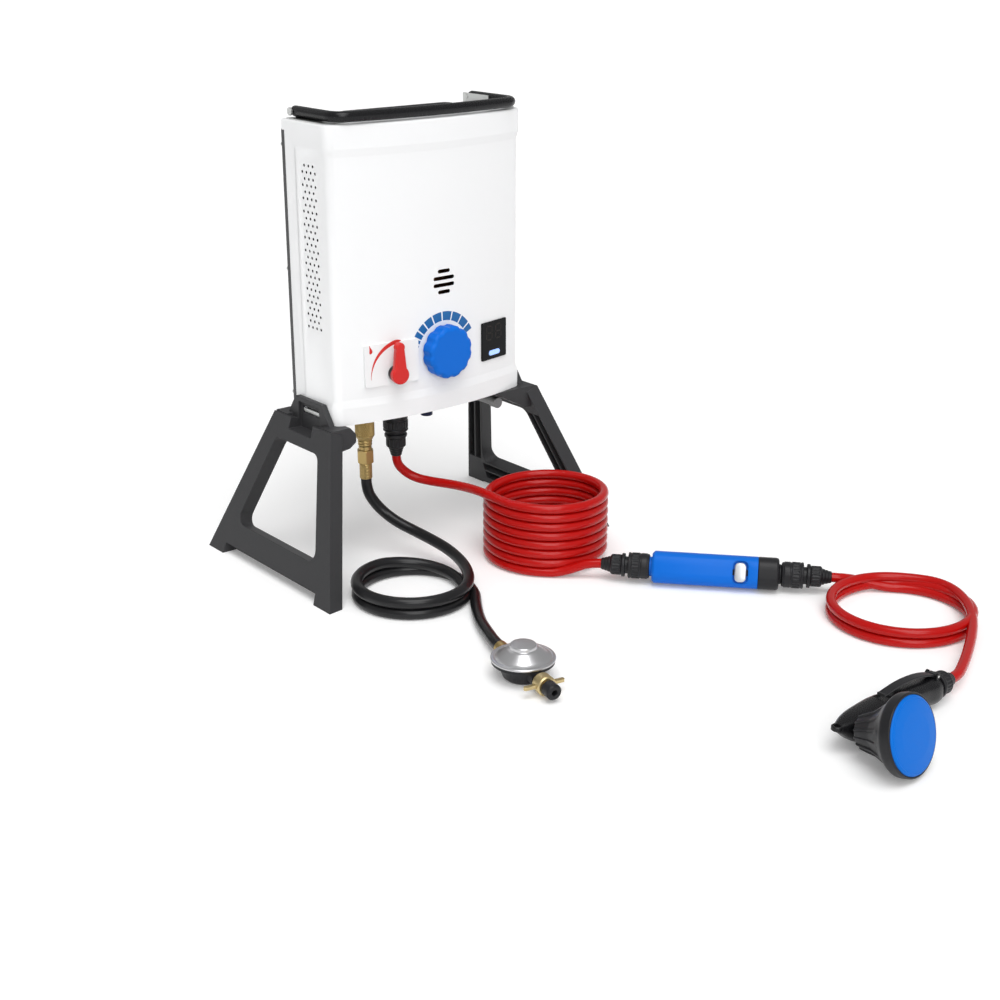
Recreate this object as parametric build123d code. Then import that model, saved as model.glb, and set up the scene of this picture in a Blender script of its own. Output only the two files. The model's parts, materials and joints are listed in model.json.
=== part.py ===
from build123d import *
import math
import os

# A portable gas water heater on two clip-on legs, with its gas hose and regulator, and a hot-water
# hose that runs through a hand valve to a shower head. Millimetres, +Z up, +X to the right of someone
# who faces the controls, +Y to the back. The origin is on the ground, at the centre of the footprint.

# ---------------------------------------------------------------- driving dimensions

# Case
CASE_W = 310.0
CASE_Z0 = 205.5            # underside of the case above the ground
CASE_H = 381.5
CASE_BACK = 48.0           # y of the open back edge of the cover
CASE_FRONT = -75.0         # y of the middle of the bowed front
BOW_R = 521.0              # radius of the bowed front
CORNER_R = 14.0            # upright front corners
WALL = 2.5
RECESS = 3.0               # depth of the panel that runs round between the two bands
TOP_BAND = 29.5
LOW_BAND = 22.5
BAND_STEP = 10.0           # height of the slope between a band and the recess
REAR_STRIP = 28.0          # full-width strip along each rear edge
TOP_EDGE_R = 3.0

# Side vents: rows of four holes with rows of three between them
VENT_ACROSS = 4.0
VENT_ROWS = 13
VENT_COLUMNS = 4
VENT_PITCH_Y = 9.6
VENT_PITCH_Z = 16.5
VENT_REAR_Y = 8.0
VENT_TOP_DROP = 61.5       # from the top of the case down to the first row of four

# Speaker-like round grille in the front
SLOT_CENTRE = (7.5, 172.0)  # x, and height above the underside
SLOT_FIELD_D = 36.0
SLOT_COUNT = 4
SLOT_H = 5.0
SLOT_PITCH = 9.2

# Sheet parts
SHEET = 1.5
PLATE_LIFT = 0.5           # bottom plate above the lower edge of the cover
PAN_RIM = 12.0
BACK_PLATE_DROP = 12.0     # top of the back plate below the top of the case
HANG_HOLE_R = 4.5
HANG_SPACING = 200.0
HANG_DROP = 42.0
HOOK_Y = 38.0              # length of the hook tab on each side, for the leg
HOOK_H = 4.0
HOOK_REACH = 3.4
HOOK_LIFT = 7.0

# Flue outlet
FLUE_W = 162.0
FLUE_D = 42.0
FLUE_Y = -5.0
FLUE_FLANGE = 5.0
FLUE_RISE = 6.5
FLUE_BARS = 8

# Heat exchanger, burner and hood
CORE_W = 200.0
CORE_FRONT = -42.0
BURNER_Z = 330.0
BURNER_H = 22.0
CORE_Z = 352.0
CORE_H = 148.0
FIN_H = 60.0
FIN_COUNT = 12

# Controls, as x and height above the underside of the case
KNOB_AT = (5.0, 80.0)
KNOB_D = 71.0
KNOB_H = 16.0
KNOB_GAP = 0.8
KNOB_LOBES = 12
SPINDLE_R = 4.0
PLATE_AT = (-76.5, 75.5)
LEVER_PLATE = (78.0, 56.0, 3.5)
LEVER_OFFSET = (4.0, -13.0)  # lever pivot from the middle of the plate
LEVER_BIG_R = 12.0
LEVER_TIP_R = 6.5
LEVER_REACH = 37.0
LEVER_T = 8.0
LEVER_FRONT = 18.0         # front face of the lever in front of its plate
LEVER_SHAFT_R = 5.0
DISPLAY_AT = (98.0, 77.5)
DISPLAY = (51.0, 53.0, 1.8)
BUTTON = (22.0, 6.5)
BUTTON_DROP = 17.5
BUTTON_TRAVEL = 0.6
BUTTON_STEM_R = 1.5
RUNNING_GAP = 0.05         # radial gap of a shaft in its bore
SLIDE_GAP = 0.3            # gap between pieces that move past each other

# Carrying handle
BAR_R = 7.8
BAR_HALF_W = 141.0
BAR_FRONT = -67.0
BAR_BOW_R = 900.0
BAR_CORNER_R = 20.0
BAR_LIFT = 9.3             # centre of the bar above the top of the case
PIVOT_Y = 34.0
PIVOT_R = 3.0
BRACKET_Y = (-12.0, 42.0)
BRACKET_H = 14.0
BRACKET_T = 2.0
FOOT_T = 1.2

# Legs
SPLAY = 18.0               # degrees from the upright
LEG_T = 20.0
LEG_SPREAD = 241.0         # x of the outer face at the ground
FOOT_Y = 152.0
FOOT_L = 34.0
SHOULDER_Y = 67.0
SHOULDER_Z = 204.5
GAP_LOW_Y = 98.0
GAP_LOW_Z = 47.0
GAP_TOP_Y = 50.0
GAP_TOP_Z = 173.5
GAP_CORNER_R = 13.0
RAIL_LIFT = 15.0           # underside of the lower rail above the ground
TAB_BASE_Y = 51.0
TAB_TOP_Y = 31.0
TAB_TOP_Z = 231.0
TAB_T = 8.0
POCKET_FLOOR = 3.5
POCKET_Z = 189.0
POCKET_HALF_W = 27.0
WINDOW = (42.0, 9.0)
RIB_T = 3.0
SKIN_T = 4.0
STUB_REACH = 21.0
GUSSET_REACH = 57.0
LEDGE_L = 26.0
LEDGE_DEPTH = 28.0

# Fittings under the case
PORT_Y = -12.0
GAS_X = -84.0
HOT_X = -33.0
COLD_X = 20.0
FLANGE_H = 5.0
GAS_STUB_R = 7.0
GAS_NUT_R = 11.4
GAS_NUT_H = 44.0
GAS_NUT_NECK_R = 8.2
GAS_HEX_R = 9.2
GAS_FERRULE_R = 7.35
GAS_HOSE_TOP = 105.0       # height of the end of the gas hose
SPIGOT_R = 8.0
COLD_R = 7.5
COLD_END_Z = 183.0
RELIEF_AT = (112.0, -6.0, 188.0)
RELIEF_R = 6.5
RELIEF_FRONT = -56.0

# Hose connectors: a nut on the hose and a collar that slides back to let go
NUT_L = 32.0
NUT_R = 12.6
NUT_TIP_R = 8.6
NUT_NECK_R = 11.4
COLLAR_L = 28.0
COLLAR_R = 16.0
COLLAR_GROOVE = 4.5
HOT_NUT_Z = 128.0

# Hoses
GAS_HOSE_D = 14.0
HOT_HOSE_D = 13.5
GAS_COIL_AT = (-139.0, -188.0)
GAS_COIL_R = 74.0
GAS_COIL_TURNS = 2
HOT_COIL_AT = (100.5, -171.7)
HOT_COIL_R = 79.25
HOT_COIL_TURNS = 8
LOOP_AT = (299.7, -613.7)
LOOP_R = 82.75
LOOP_TURNS = 2

# Hand valve in the hot hose
VALVE_AT = (194.6, -381.9, 22.4)
VALVE_DIRECTION = (0.652, -0.758, 0.0)
VALVE_L = 137.0
VALVE_ACROSS = 42.0
VALVE_CORNER_R = 16.0
VALVE_ROLL = 20.0
VALVE_CAP_L = 27.0
VALVE_BUTTON_AT = 46.0
VALVE_BUTTON = (15.0, 25.0)
VALVE_SLOT = (20.0, 30.0)
VALVE_TRAVEL = 2.5
VALVE_STEM_R = 3.5

# Gas regulator
REG_AT = (-165.0, -439.0)
REG_DIRECTION = (-0.21, -0.978, 0.0)
REG_PIPE_Z = 14.0
REG_PIPE_R = 9.0
REG_RIM_R = 39.0
REG_RIM_Z = 24.5
REG_CAP_R = 12.5
REG_TOP_Z = 43.0
REG_HOSE_END = 44.0
REG_NUT_START = 42.0
REG_NUT_L = 16.0
REG_NUT_R = 12.0
REG_STEM_R = 8.0
WING_REACH = 26.0
WING_W = 5.5
WING_T = 4.0
NOSE_R = 9.5
NOSE_L = 15.0

# Shower head
HEAD_START = (170.0, -782.0, 20.0)
HEAD_END = (-31.0, -789.0, 37.0)
FACE_AT = (-2.0, -861.0, 46.2)
FACE_NORMAL = (0.233, -0.959, 0.163)
FACE_R = 43.5
CUP_R = 46.0
CUP_DEPTH = 13.0
TRIGGER_W = 11.0
TRIGGER_HINGE = (17.0, 38.0)
TRIGGER_PIN_R = 1.2

# ---------------------------------------------------------------- values that follow

CASE_TOP = CASE_Z0 + CASE_H
HALF_W = CASE_W / 2
INNER = RECESS + WALL                      # inner face of the cover, in from the bands
FLOOR_PLATE_Z = CASE_Z0 + PLATE_LIFT       # underside of the bottom plate
BACK_PLATE_TOP = CASE_TOP - BACK_PLATE_DROP
BAR_Z = CASE_TOP + BAR_LIFT
SPLAY_TAN = math.tan(math.radians(SPLAY))
SPLAY_COS = math.cos(math.radians(SPLAY))
CONNECTOR_L = NUT_L + COLLAR_GROOVE + COLLAR_L
BOLT_HEIGHTS = (CASE_Z0 + 25, CASE_Z0 + CASE_H / 2, CASE_TOP - 32)
HOOK_Z = CASE_Z0 + HOOK_LIFT

parts = {}


def bowed_front(front_y, bow_r, half_w, corner_r, inset):
    """Right-hand corner of a bowed front: the centre of its arc, and where that arc meets the bow."""
    centre = Vector(half_w - corner_r, front_y + bow_r - math.sqrt((bow_r - corner_r) ** 2 - (half_w - corner_r) ** 2))
    outward = (centre - Vector(0, front_y + bow_r)).normalized()
    return centre, centre + outward * (corner_r - inset), outward


def case_plan(inset, back_y, z=0.0):
    """Plan of the case: straight back and sides, small front corners and a bowed front."""
    centre, meet, outward = bowed_front(CASE_FRONT, BOW_R, HALF_W, CORNER_R, inset)
    side = HALF_W - inset
    half_turn = math.atan2(outward.Y, outward.X) / 2
    mid = centre + Vector(math.cos(half_turn), math.sin(half_turn)) * (CORNER_R - inset)
    edges = [
        Line((-side, back_y), (-side, centre.Y)),
        ThreePointArc((-side, centre.Y), (-mid.X, mid.Y), (-meet.X, meet.Y)),
        ThreePointArc((-meet.X, meet.Y), (0, CASE_FRONT + inset), (meet.X, meet.Y)),
        ThreePointArc((meet.X, meet.Y), (mid.X, mid.Y), (side, centre.Y)),
        Line((side, centre.Y), (side, back_y)),
        Line((side, back_y), (-side, back_y)),
    ]
    return Pos(0, 0, z) * Face(Wire(edges))


def case_prism(inset, z0, z1, back_y=CASE_BACK):
    return extrude(case_plan(inset, back_y, z0), z1 - z0, dir=(0, 0, 1))


def front_plane(at, inset=RECESS):
    """Plane on the bowed front: +Z outward, +Y up, at x and a height above the underside."""
    radius = BOW_R - inset
    y = CASE_FRONT + BOW_R - math.sqrt(radius ** 2 - at[0] ** 2)
    normal = Vector(at[0], y - CASE_FRONT - BOW_R, 0).normalized()
    return Plane(origin=(at[0], y, CASE_Z0 + at[1]), x_dir=(-normal.Y, normal.X, 0), z_dir=normal)


def rod(radius, z0, z1):
    return Pos(0, 0, (z0 + z1) / 2) * Cylinder(radius, z1 - z0)


def ring(outer, inner, z0, z1):
    return rod(outer, z0, z1) - rod(inner, z0, z1)


def turned(points):
    """A solid turned about Z from an outline of (radius, height) points."""
    outline = Polyline(*[(r, 0, z) for r, z in points], close=True)
    return revolve(Face(Wire(outline.edges())), Axis.Z)


def hexagon(across, z0, z1):
    return Pos(0, 0, z0) * extrude(RegularPolygon(across, 6), z1 - z0)


def block(low, high):
    """A box from its lowest to its highest corner."""
    size = [b - a for a, b in zip(low, high)]
    middle = [(a + b) / 2 for a, b in zip(low, high)]
    return Pos(*middle) * Box(*size)


# ---------------------------------------------------------------- case


def front_cover():
    """Moulded cover: bowed front, two bands, a recessed panel between, open at the back and below."""
    low = case_prism(0, CASE_Z0, CASE_Z0 + LOW_BAND)
    low_slope_z = CASE_Z0 + LOW_BAND
    top_slope_z = CASE_TOP - TOP_BAND
    low_slope = loft(
        [case_plan(0, CASE_BACK, low_slope_z), case_plan(RECESS, CASE_BACK, low_slope_z + BAND_STEP)], ruled=True
    )
    panel = case_prism(RECESS, low_slope_z + BAND_STEP, top_slope_z - BAND_STEP)
    top_slope = loft(
        [case_plan(RECESS, CASE_BACK, top_slope_z - BAND_STEP), case_plan(0, CASE_BACK, top_slope_z)], ruled=True
    )
    top = case_prism(0, top_slope_z, CASE_TOP)
    rim = top.edges().group_by(Axis.Z)[-1].sort_by(Axis.Y)[:-1]
    top = fillet(rim, TOP_EDGE_R)
    cover = low + low_slope + panel + top_slope + top
    for side in (-1, 1):
        x = sorted((side * (HALF_W - RECESS), side * HALF_W))
        cover += block((x[0], CASE_BACK - REAR_STRIP, low_slope_z), (x[1], CASE_BACK, top_slope_z))
    cover -= case_prism(INNER, CASE_Z0 - 1, CASE_TOP - WALL, CASE_BACK + 1)
    cover -= flue_opening(CASE_TOP - 2 * WALL, CASE_TOP + 1, 0)
    cover -= front_plane(KNOB_AT) * rod(SPINDLE_R + 2, -INNER - 4, 2)
    cover -= front_plane(PLATE_AT) * Pos(*LEVER_OFFSET, 0) * rod(LEVER_SHAFT_R + 1.5, -INNER - 4, 2)
    cover -= button_axis() * rod(BUTTON_STEM_R + RUNNING_GAP, -INNER - 4, 2)
    cover -= round_grille()
    cover -= side_vents()
    for side in (-1, 1):
        cover -= Pos(side * HALF_W, 0, HOOK_Z + HOOK_H / 2) * Box(30, HOOK_Y + 1, HOOK_H + 1)
    cover -= [spot * rod(1.45, -12, 1) for spot in cover_bolt_spots()]
    return cover


def flue_opening(z0, z1, clearance):
    outline = RectangleRounded(FLUE_W - 2 * clearance, FLUE_D - 2 * clearance, 6)
    return Pos(0, FLUE_Y, z0) * extrude(outline, z1 - z0)


def round_grille():
    """Four level slots, trimmed to a circle."""
    slots = []
    for i in range(SLOT_COUNT):
        y = (i - (SLOT_COUNT - 1) / 2) * SLOT_PITCH
        reach = math.sqrt((SLOT_FIELD_D / 2) ** 2 - (abs(y) + SLOT_H / 4) ** 2)
        slots.append(Pos(0, y) * SlotOverall(2 * reach, SLOT_H))
    return [front_plane(SLOT_CENTRE) * extrude(slot, 12, both=True) for slot in slots]


def side_vents():
    """Staggered small holes through both sides."""
    holes = []
    for row in range(2 * VENT_ROWS):
        short = row % 2 == 0
        z = CASE_TOP - VENT_TOP_DROP + VENT_PITCH_Z / 2 - row * VENT_PITCH_Z / 2
        for column in range(VENT_COLUMNS - short):
            y = VENT_REAR_Y - (column + 0.5 * short) * VENT_PITCH_Y
            hole = Plane.YZ * extrude(RegularPolygon(VENT_ACROSS / 2, 6), 12, both=True)
            holes += [Pos(side * (HALF_W - RECESS), y, z) * hole for side in (-1, 1)]
    return holes


def cover_bolt_spots():
    """Screw places in the rear edges of the cover, each with +Z pointing backward."""
    x = HALF_W - INNER / 2
    return [Plane(origin=(s * x, CASE_BACK, z), z_dir=(0, 1, 0)).location for s in (-1, 1) for z in BOLT_HEIGHTS]


def back_plate():
    plate = block((-HALF_W + 0.5, CASE_BACK, FLOOR_PLATE_Z), (HALF_W - 0.5, CASE_BACK + SHEET, BACK_PLATE_TOP))
    for side in (-1, 1):
        hole = Plane(origin=(side * HANG_SPACING / 2, CASE_BACK, CASE_TOP - HANG_DROP), z_dir=(0, 1, 0))
        plate -= hole * rod(HANG_HOLE_R, -1, SHEET + 1)
    plate -= [spot * rod(1.6, -1, SHEET + 1) for spot in cover_bolt_spots()]
    return plate


def cover_screws():
    return Compound([spot * (rod(1.4, -10, SHEET) + rod(2.7, SHEET, SHEET + 1.8)) for spot in cover_bolt_spots()])


def bottom_plate():
    """Shallow pan that closes the case, with a hook tab through each side of the cover for the legs."""
    plate = case_prism(INNER, FLOOR_PLATE_Z, FLOOR_PLATE_Z + PAN_RIM)
    hollow = case_prism(INNER + SHEET, FLOOR_PLATE_Z + SHEET, FLOOR_PLATE_Z + PAN_RIM + 1, CASE_BACK - SHEET)
    plate -= hollow
    for side in (-1, 1):
        inner_x = HALF_W - INNER - SHEET / 2
        outer_x = HALF_W + HOOK_REACH
        x = sorted((side * inner_x, side * outer_x))
        plate += block((x[0], -HOOK_Y / 2, HOOK_Z), (x[1], HOOK_Y / 2, HOOK_Z + SHEET))
        lip = sorted((side * (outer_x - SHEET), side * outer_x))
        plate += block((lip[0], -HOOK_Y / 2, HOOK_Z), (lip[1], HOOK_Y / 2, HOOK_Z + HOOK_H))
    for x, radius in ((GAS_X, GAS_STUB_R), (HOT_X, SPIGOT_R), (COLD_X, COLD_R)):
        plate -= Pos(x, PORT_Y, 0) * rod(radius, FLOOR_PLATE_Z - 1, FLOOR_PLATE_Z + SHEET + 1)
    plate -= Pos(*RELIEF_AT[:2], 0) * rod(RELIEF_R, FLOOR_PLATE_Z - 1, FLOOR_PLATE_Z + SHEET + 1)
    return plate


def flue_grille():
    """Raised black outlet frame with bars across it, let into the top of the cover."""
    outer = RectangleRounded(FLUE_W + 2 * FLUE_FLANGE, FLUE_D + 2 * FLUE_FLANGE, 8)
    frame = Pos(0, FLUE_Y, CASE_TOP) * extrude(outer, FLUE_RISE, taper=12)
    frame += flue_opening(CASE_TOP - 2 * WALL, CASE_TOP, 0)
    frame -= flue_opening(CASE_TOP - 3 * WALL, CASE_TOP + FLUE_RISE + 1, 4)
    spacing = (FLUE_W - 8) / (FLUE_BARS + 1)
    for i in range(FLUE_BARS):
        x = (i - (FLUE_BARS - 1) / 2) * spacing
        frame += Pos(x, FLUE_Y, CASE_TOP + FLUE_RISE - 3) * Box(4, FLUE_D - 7, 4)
    return frame


# ---------------------------------------------------------------- inside the case


def burner():
    """Gas burner tray with a row of slotted ribs, held on the back plate."""
    tray = block((-CORE_W / 2, CORE_FRONT, BURNER_Z), (CORE_W / 2, CASE_BACK, BURNER_Z + BURNER_H - 8))
    for i in range(7):
        x = (i - 3) * CORE_W / 7.5
        tray += block((x - 7, CORE_FRONT + 6, BURNER_Z + BURNER_H - 8), (x + 7, CASE_BACK - 6, BURNER_Z + BURNER_H))
    return tray


def heat_exchanger():
    """Open box over the burner with a stack of fins in its upper part."""
    outer = block((-CORE_W / 2, CORE_FRONT, CORE_Z), (CORE_W / 2, CASE_BACK, CORE_Z + CORE_H))
    box = outer - block(
        (-CORE_W / 2 + 2, CORE_FRONT + 2, CORE_Z - 1), (CORE_W / 2 - 2, CASE_BACK - 2, CORE_Z + CORE_H + 1)
    )
    pitch = (CORE_W - 4) / (FIN_COUNT + 1)
    for i in range(FIN_COUNT):
        x = (i - (FIN_COUNT - 1) / 2) * pitch
        fin_top = CORE_Z + CORE_H - 10
        box += block((x - 0.75, CORE_FRONT + 1, fin_top - FIN_H), (x + 0.75, CASE_BACK - 1, fin_top))
    return box


def flue_hood():
    """Sheet hood that narrows from the heat exchanger to the outlet."""
    middle_y = (CORE_FRONT + CASE_BACK) / 2
    depth = CASE_BACK - CORE_FRONT
    z0 = CORE_Z + CORE_H
    z1 = CASE_TOP - 2 * WALL
    wide = Pos(0, middle_y, z0) * Rectangle(CORE_W, depth)
    narrow = Pos(0, FLUE_Y, z1) * Rectangle(FLUE_W, FLUE_D)
    wide_in = Pos(0, middle_y, z0) * Rectangle(CORE_W - 3, depth - 3)
    narrow_in = Pos(0, FLUE_Y, z1) * Rectangle(FLUE_W - 3, FLUE_D - 3)
    return loft([wide.face(), narrow.face()]) - loft([wide_in.face(), narrow_in.face()])


def lever_axis():
    return front_plane(PLATE_AT) * Pos(*LEVER_OFFSET, 0)


def gas_valve():
    """Cast valve block over the gas inlet, turned by the lever."""
    body = block((GAS_X - 20, -46, 240), (GAS_X + 30, 6, 292))
    body += Pos(GAS_X, PORT_Y, 0) * hexagon(13, 232, 240)
    body -= lever_axis() * rod(LEVER_SHAFT_R + RUNNING_GAP, -34, 30)
    body -= Pos(GAS_X, PORT_Y, 0) * rod(GAS_STUB_R, 220, 252)
    return body


def water_valve():
    """Brass flow valve over the cold inlet, turned by the knob."""
    body = block((KNOB_AT[0] - 22, -48, 262), (KNOB_AT[0] + 28, 4, 310))
    body -= front_plane(KNOB_AT) * rod(SPINDLE_R + RUNNING_GAP, -40, 30)
    body -= Pos(COLD_X, PORT_Y, 0) * rod(COLD_R, 250, 270)
    return body


def pipe_run(points, radius, bend):
    path = FilletPolyline(*points, radius=bend)
    return sweep(Plane(origin=path @ 0, z_dir=path % 0) * Circle(radius), path=path)


def water_pipes():
    """Cold pipe from the flow valve to the heat exchanger, and hot pipe from it down to the outlet."""
    valve_side = KNOB_AT[0] + 28
    riser_x = CORE_W / 2 + 24
    tap_z = CORE_Z + 96
    cold = pipe_run([(valve_side, -28, 288), (riser_x, -28, 288), (riser_x, -28, tap_z), (CORE_W / 2, -28, tap_z)], 5, 13)
    start = (HOT_X, PORT_Y, 220)
    hot = pipe_run(
        [start, (HOT_X, PORT_Y, 236), (HOT_X, 26, 236), (-riser_x, 26, 236), (-riser_x, 26, tap_z), (-CORE_W / 2, 26, tap_z)],
        5,
        13,
    )
    return Compound([cold, hot])


def gas_pipe():
    return Pos(GAS_X + 12, -20, 0) * ring(6, 4, 292, BURNER_Z)


def igniter_box():
    return fillet(block((-20, 22, 250), (24, CASE_BACK, 284)).edges().filter_by(Axis.Y), 3)


def battery_box():
    z0 = FLOOR_PLATE_Z + SHEET
    return fillet(block((58, 14, z0), (132, 44, z0 + 38)).edges().filter_by(Axis.X), 6)


# ---------------------------------------------------------------- controls


def lever_plate():
    """Raised plate behind the gas lever, its back following the bowed front."""
    width, height, rise = LEVER_PLATE
    plate = front_plane(PLATE_AT) * Pos(0, 0, rise - 6) * extrude(RectangleRounded(width, height, 3), 6)
    plate -= lever_axis() * rod(LEVER_SHAFT_R + RUNNING_GAP, -20, 20)
    return plate - case_prism(RECESS, CASE_Z0, CASE_TOP)


def lever_shaft():
    return lever_axis() * rod(LEVER_SHAFT_R, -32, LEVER_PLATE[2] + LEVER_FRONT - LEVER_T + 3)


def gas_lever():
    """Lever with a large round end on the shaft, a tapered bar and a small round tip."""
    outline = Circle(LEVER_BIG_R) + Pos(0, LEVER_REACH) * Circle(LEVER_TIP_R)
    bar = Polyline(
        (-9.5, 0), (9.5, 0), (LEVER_TIP_R - 1, LEVER_REACH), (-LEVER_TIP_R + 1, LEVER_REACH), close=True
    )
    outline += Face(Wire(bar.edges()))
    z1 = LEVER_PLATE[2] + LEVER_FRONT
    lever = Pos(0, 0, z1 - LEVER_T) * extrude(outline, LEVER_T)
    lever = chamfer(lever.faces().sort_by(Axis.Z)[-1].edges(), 1.2)
    lever -= rod(LEVER_SHAFT_R, z1 - LEVER_T - 1, z1 - LEVER_T + 3)
    return lever_axis() * lever


def knob_shaft():
    return front_plane(KNOB_AT) * rod(SPINDLE_R, -38, KNOB_GAP + KNOB_H - 5)


def control_knob():
    """Dial with shallow finger scallops round its rim and a softly domed face."""
    scallop_r = 9.0
    outline = Circle(KNOB_D / 2) - [
        Rot(0, 0, i * 360 / KNOB_LOBES) * Pos(KNOB_D / 2 + scallop_r - 2.2, 0) * Circle(scallop_r)
        for i in range(KNOB_LOBES)
    ]
    body = extrude(outline, KNOB_H)
    edge = KNOB_D / 2
    dome = turned([(0, 0), (edge, 0), (edge, KNOB_H - 4.5), (edge - 1.5, KNOB_H - 2), (edge - 5, KNOB_H - 0.6), (0, KNOB_H)])
    knob = (body & dome) - rod(SPINDLE_R, -1, KNOB_H - 5)
    knob -= ring(edge - 6, SPINDLE_R + 5, -1, 6)
    return front_plane(KNOB_AT) * Pos(0, 0, KNOB_GAP) * knob


def button_axis():
    return front_plane(DISPLAY_AT) * Pos(0, -BUTTON_DROP, 0)


def button_outline(clearance):
    return button_axis() * SlotOverall(BUTTON[0] + 2 * clearance, BUTTON[1] + 2 * clearance)


def display_window():
    """Black glass over the display, with a slot for the button in its lower part."""
    width, height, rise = DISPLAY
    glass = front_plane(DISPLAY_AT) * Pos(0, 0, rise - 6) * extrude(RectangleRounded(width, height, 2), 6)
    glass -= case_prism(RECESS, CASE_Z0, CASE_TOP)
    return glass - extrude(button_outline(0.2), 12, both=True)


def display_button():
    """Flat pill-shaped button on a stem through the cover."""
    front = DISPLAY[2] + BUTTON_TRAVEL
    cap = Pos(0, 0, front - 1.5) * extrude(SlotOverall(*BUTTON), 1.5)
    return button_axis() * (cap + rod(BUTTON_STEM_R, -WALL, front - 1))


# ---------------------------------------------------------------- carrying handle


def carry_handle():
    """Round bar, bowed like the front of the case, with an arm back to a rounded end at each pivot."""
    centre, meet, outward = bowed_front(BAR_FRONT, BAR_BOW_R, BAR_HALF_W, BAR_CORNER_R, 0)
    half_turn = math.atan2(outward.Y, outward.X) / 2
    mid = centre + Vector(math.cos(half_turn), math.sin(half_turn)) * BAR_CORNER_R
    arm_end = PIVOT_Y
    path = Wire([
        Line((-BAR_HALF_W, arm_end), (-BAR_HALF_W, centre.Y)),
        ThreePointArc((-BAR_HALF_W, centre.Y), (-mid.X, mid.Y), (-meet.X, meet.Y)),
        ThreePointArc((-meet.X, meet.Y), (0, BAR_FRONT), (meet.X, meet.Y)),
        ThreePointArc((meet.X, meet.Y), (mid.X, mid.Y), (BAR_HALF_W, centre.Y)),
        Line((BAR_HALF_W, centre.Y), (BAR_HALF_W, arm_end)),
    ])
    section = Plane(origin=path @ 0, z_dir=path % 0) * Circle(BAR_R)
    bar = Pos(0, 0, BAR_Z) * sweep(section, path=path)
    bar += [Pos(side * BAR_HALF_W, arm_end, BAR_Z) * Sphere(BAR_R) for side in (-1, 1)]
    return bar - [spot * rod(PIVOT_R + RUNNING_GAP, -20, 20) for spot in pivot_spots()]


def pivot_spots():
    """Handle pivots, each with +Z pointing away from the middle of the case."""
    return [Plane(origin=(s * BAR_HALF_W, PIVOT_Y, BAR_Z), z_dir=(s, 0, 0)).location for s in (-1, 1)]


def handle_brackets():
    """Galvanised angle under each arm: a foot on the case and an upright plate that holds the pivot."""
    plate_x = BAR_HALF_W - BAR_R - 0.7 - BRACKET_T
    right = block((plate_x - 12, -42, CASE_TOP), (HALF_W - 4, BRACKET_Y[1], CASE_TOP + FOOT_T))
    right += block((plate_x, BRACKET_Y[0], CASE_TOP), (plate_x + BRACKET_T, BRACKET_Y[1], CASE_TOP + BRACKET_H))
    right -= pivot_spots()[1] * rod(PIVOT_R, -20, 20)
    return Compound([right, mirror(right, Plane.YZ)])


def handle_pivots():
    inner = -BAR_R - 0.7 - BRACKET_T - 1
    pin = rod(PIVOT_R, inner, BAR_R + 1) + rod(5.0, BAR_R + SLIDE_GAP, BAR_R + 2.3)
    return Compound([spot * pin for spot in pivot_spots()])


# ---------------------------------------------------------------- legs


def along_leg(z):
    """Distance up the splayed leg plane of a height above the ground."""
    return z / SPLAY_COS


def polygon(points):
    return Face(Wire(Polyline(*points, close=True).edges()))


def post_edge(z):
    """y of the outer edge of a post at a height."""
    return FOOT_Y - (FOOT_Y - SHOULDER_Y) * z / SHOULDER_Z


def gap_edge(z):
    """y of the inner edge of a post at a height."""
    return GAP_LOW_Y - (GAP_LOW_Y - GAP_TOP_Y) * (z - GAP_LOW_Z) / (GAP_TOP_Z - GAP_LOW_Z)


def leg_ribs():
    """Long pockets in the inner face that leave a skin, edge walls and a middle rib in each member."""
    pockets = []
    z0 = GAP_LOW_Z + 4
    z1 = GAP_TOP_Z - 4
    for side in (-1, 1):
        for a, b in ((0.1, 0.45), (0.55, 0.9)):
            low_in, low_out = gap_edge(z0), post_edge(z0)
            top_in, top_out = gap_edge(z1), post_edge(z1)
            corners = [
                (side * (low_in + (low_out - low_in) * a), along_leg(z0)),
                (side * (low_in + (low_out - low_in) * b), along_leg(z0)),
                (side * (top_in + (top_out - top_in) * b), along_leg(z1)),
                (side * (top_in + (top_out - top_in) * a), along_leg(z1)),
            ]
            pockets.append(polygon(corners))
    rail_middle = (RAIL_LIFT + GAP_LOW_Z) / 2
    rail_half = (GAP_LOW_Z - RAIL_LIFT) / 2 - RIB_T
    for side in (-1, 1):
        low = along_leg(rail_middle + min(side * rail_half, side * RIB_T / 2))
        high = along_leg(rail_middle + max(side * rail_half, side * RIB_T / 2))
        pockets.append(polygon([(-GAP_LOW_Y, low), (GAP_LOW_Y, low), (GAP_LOW_Y, high), (-GAP_LOW_Y, high)]))
    return pockets


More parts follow.
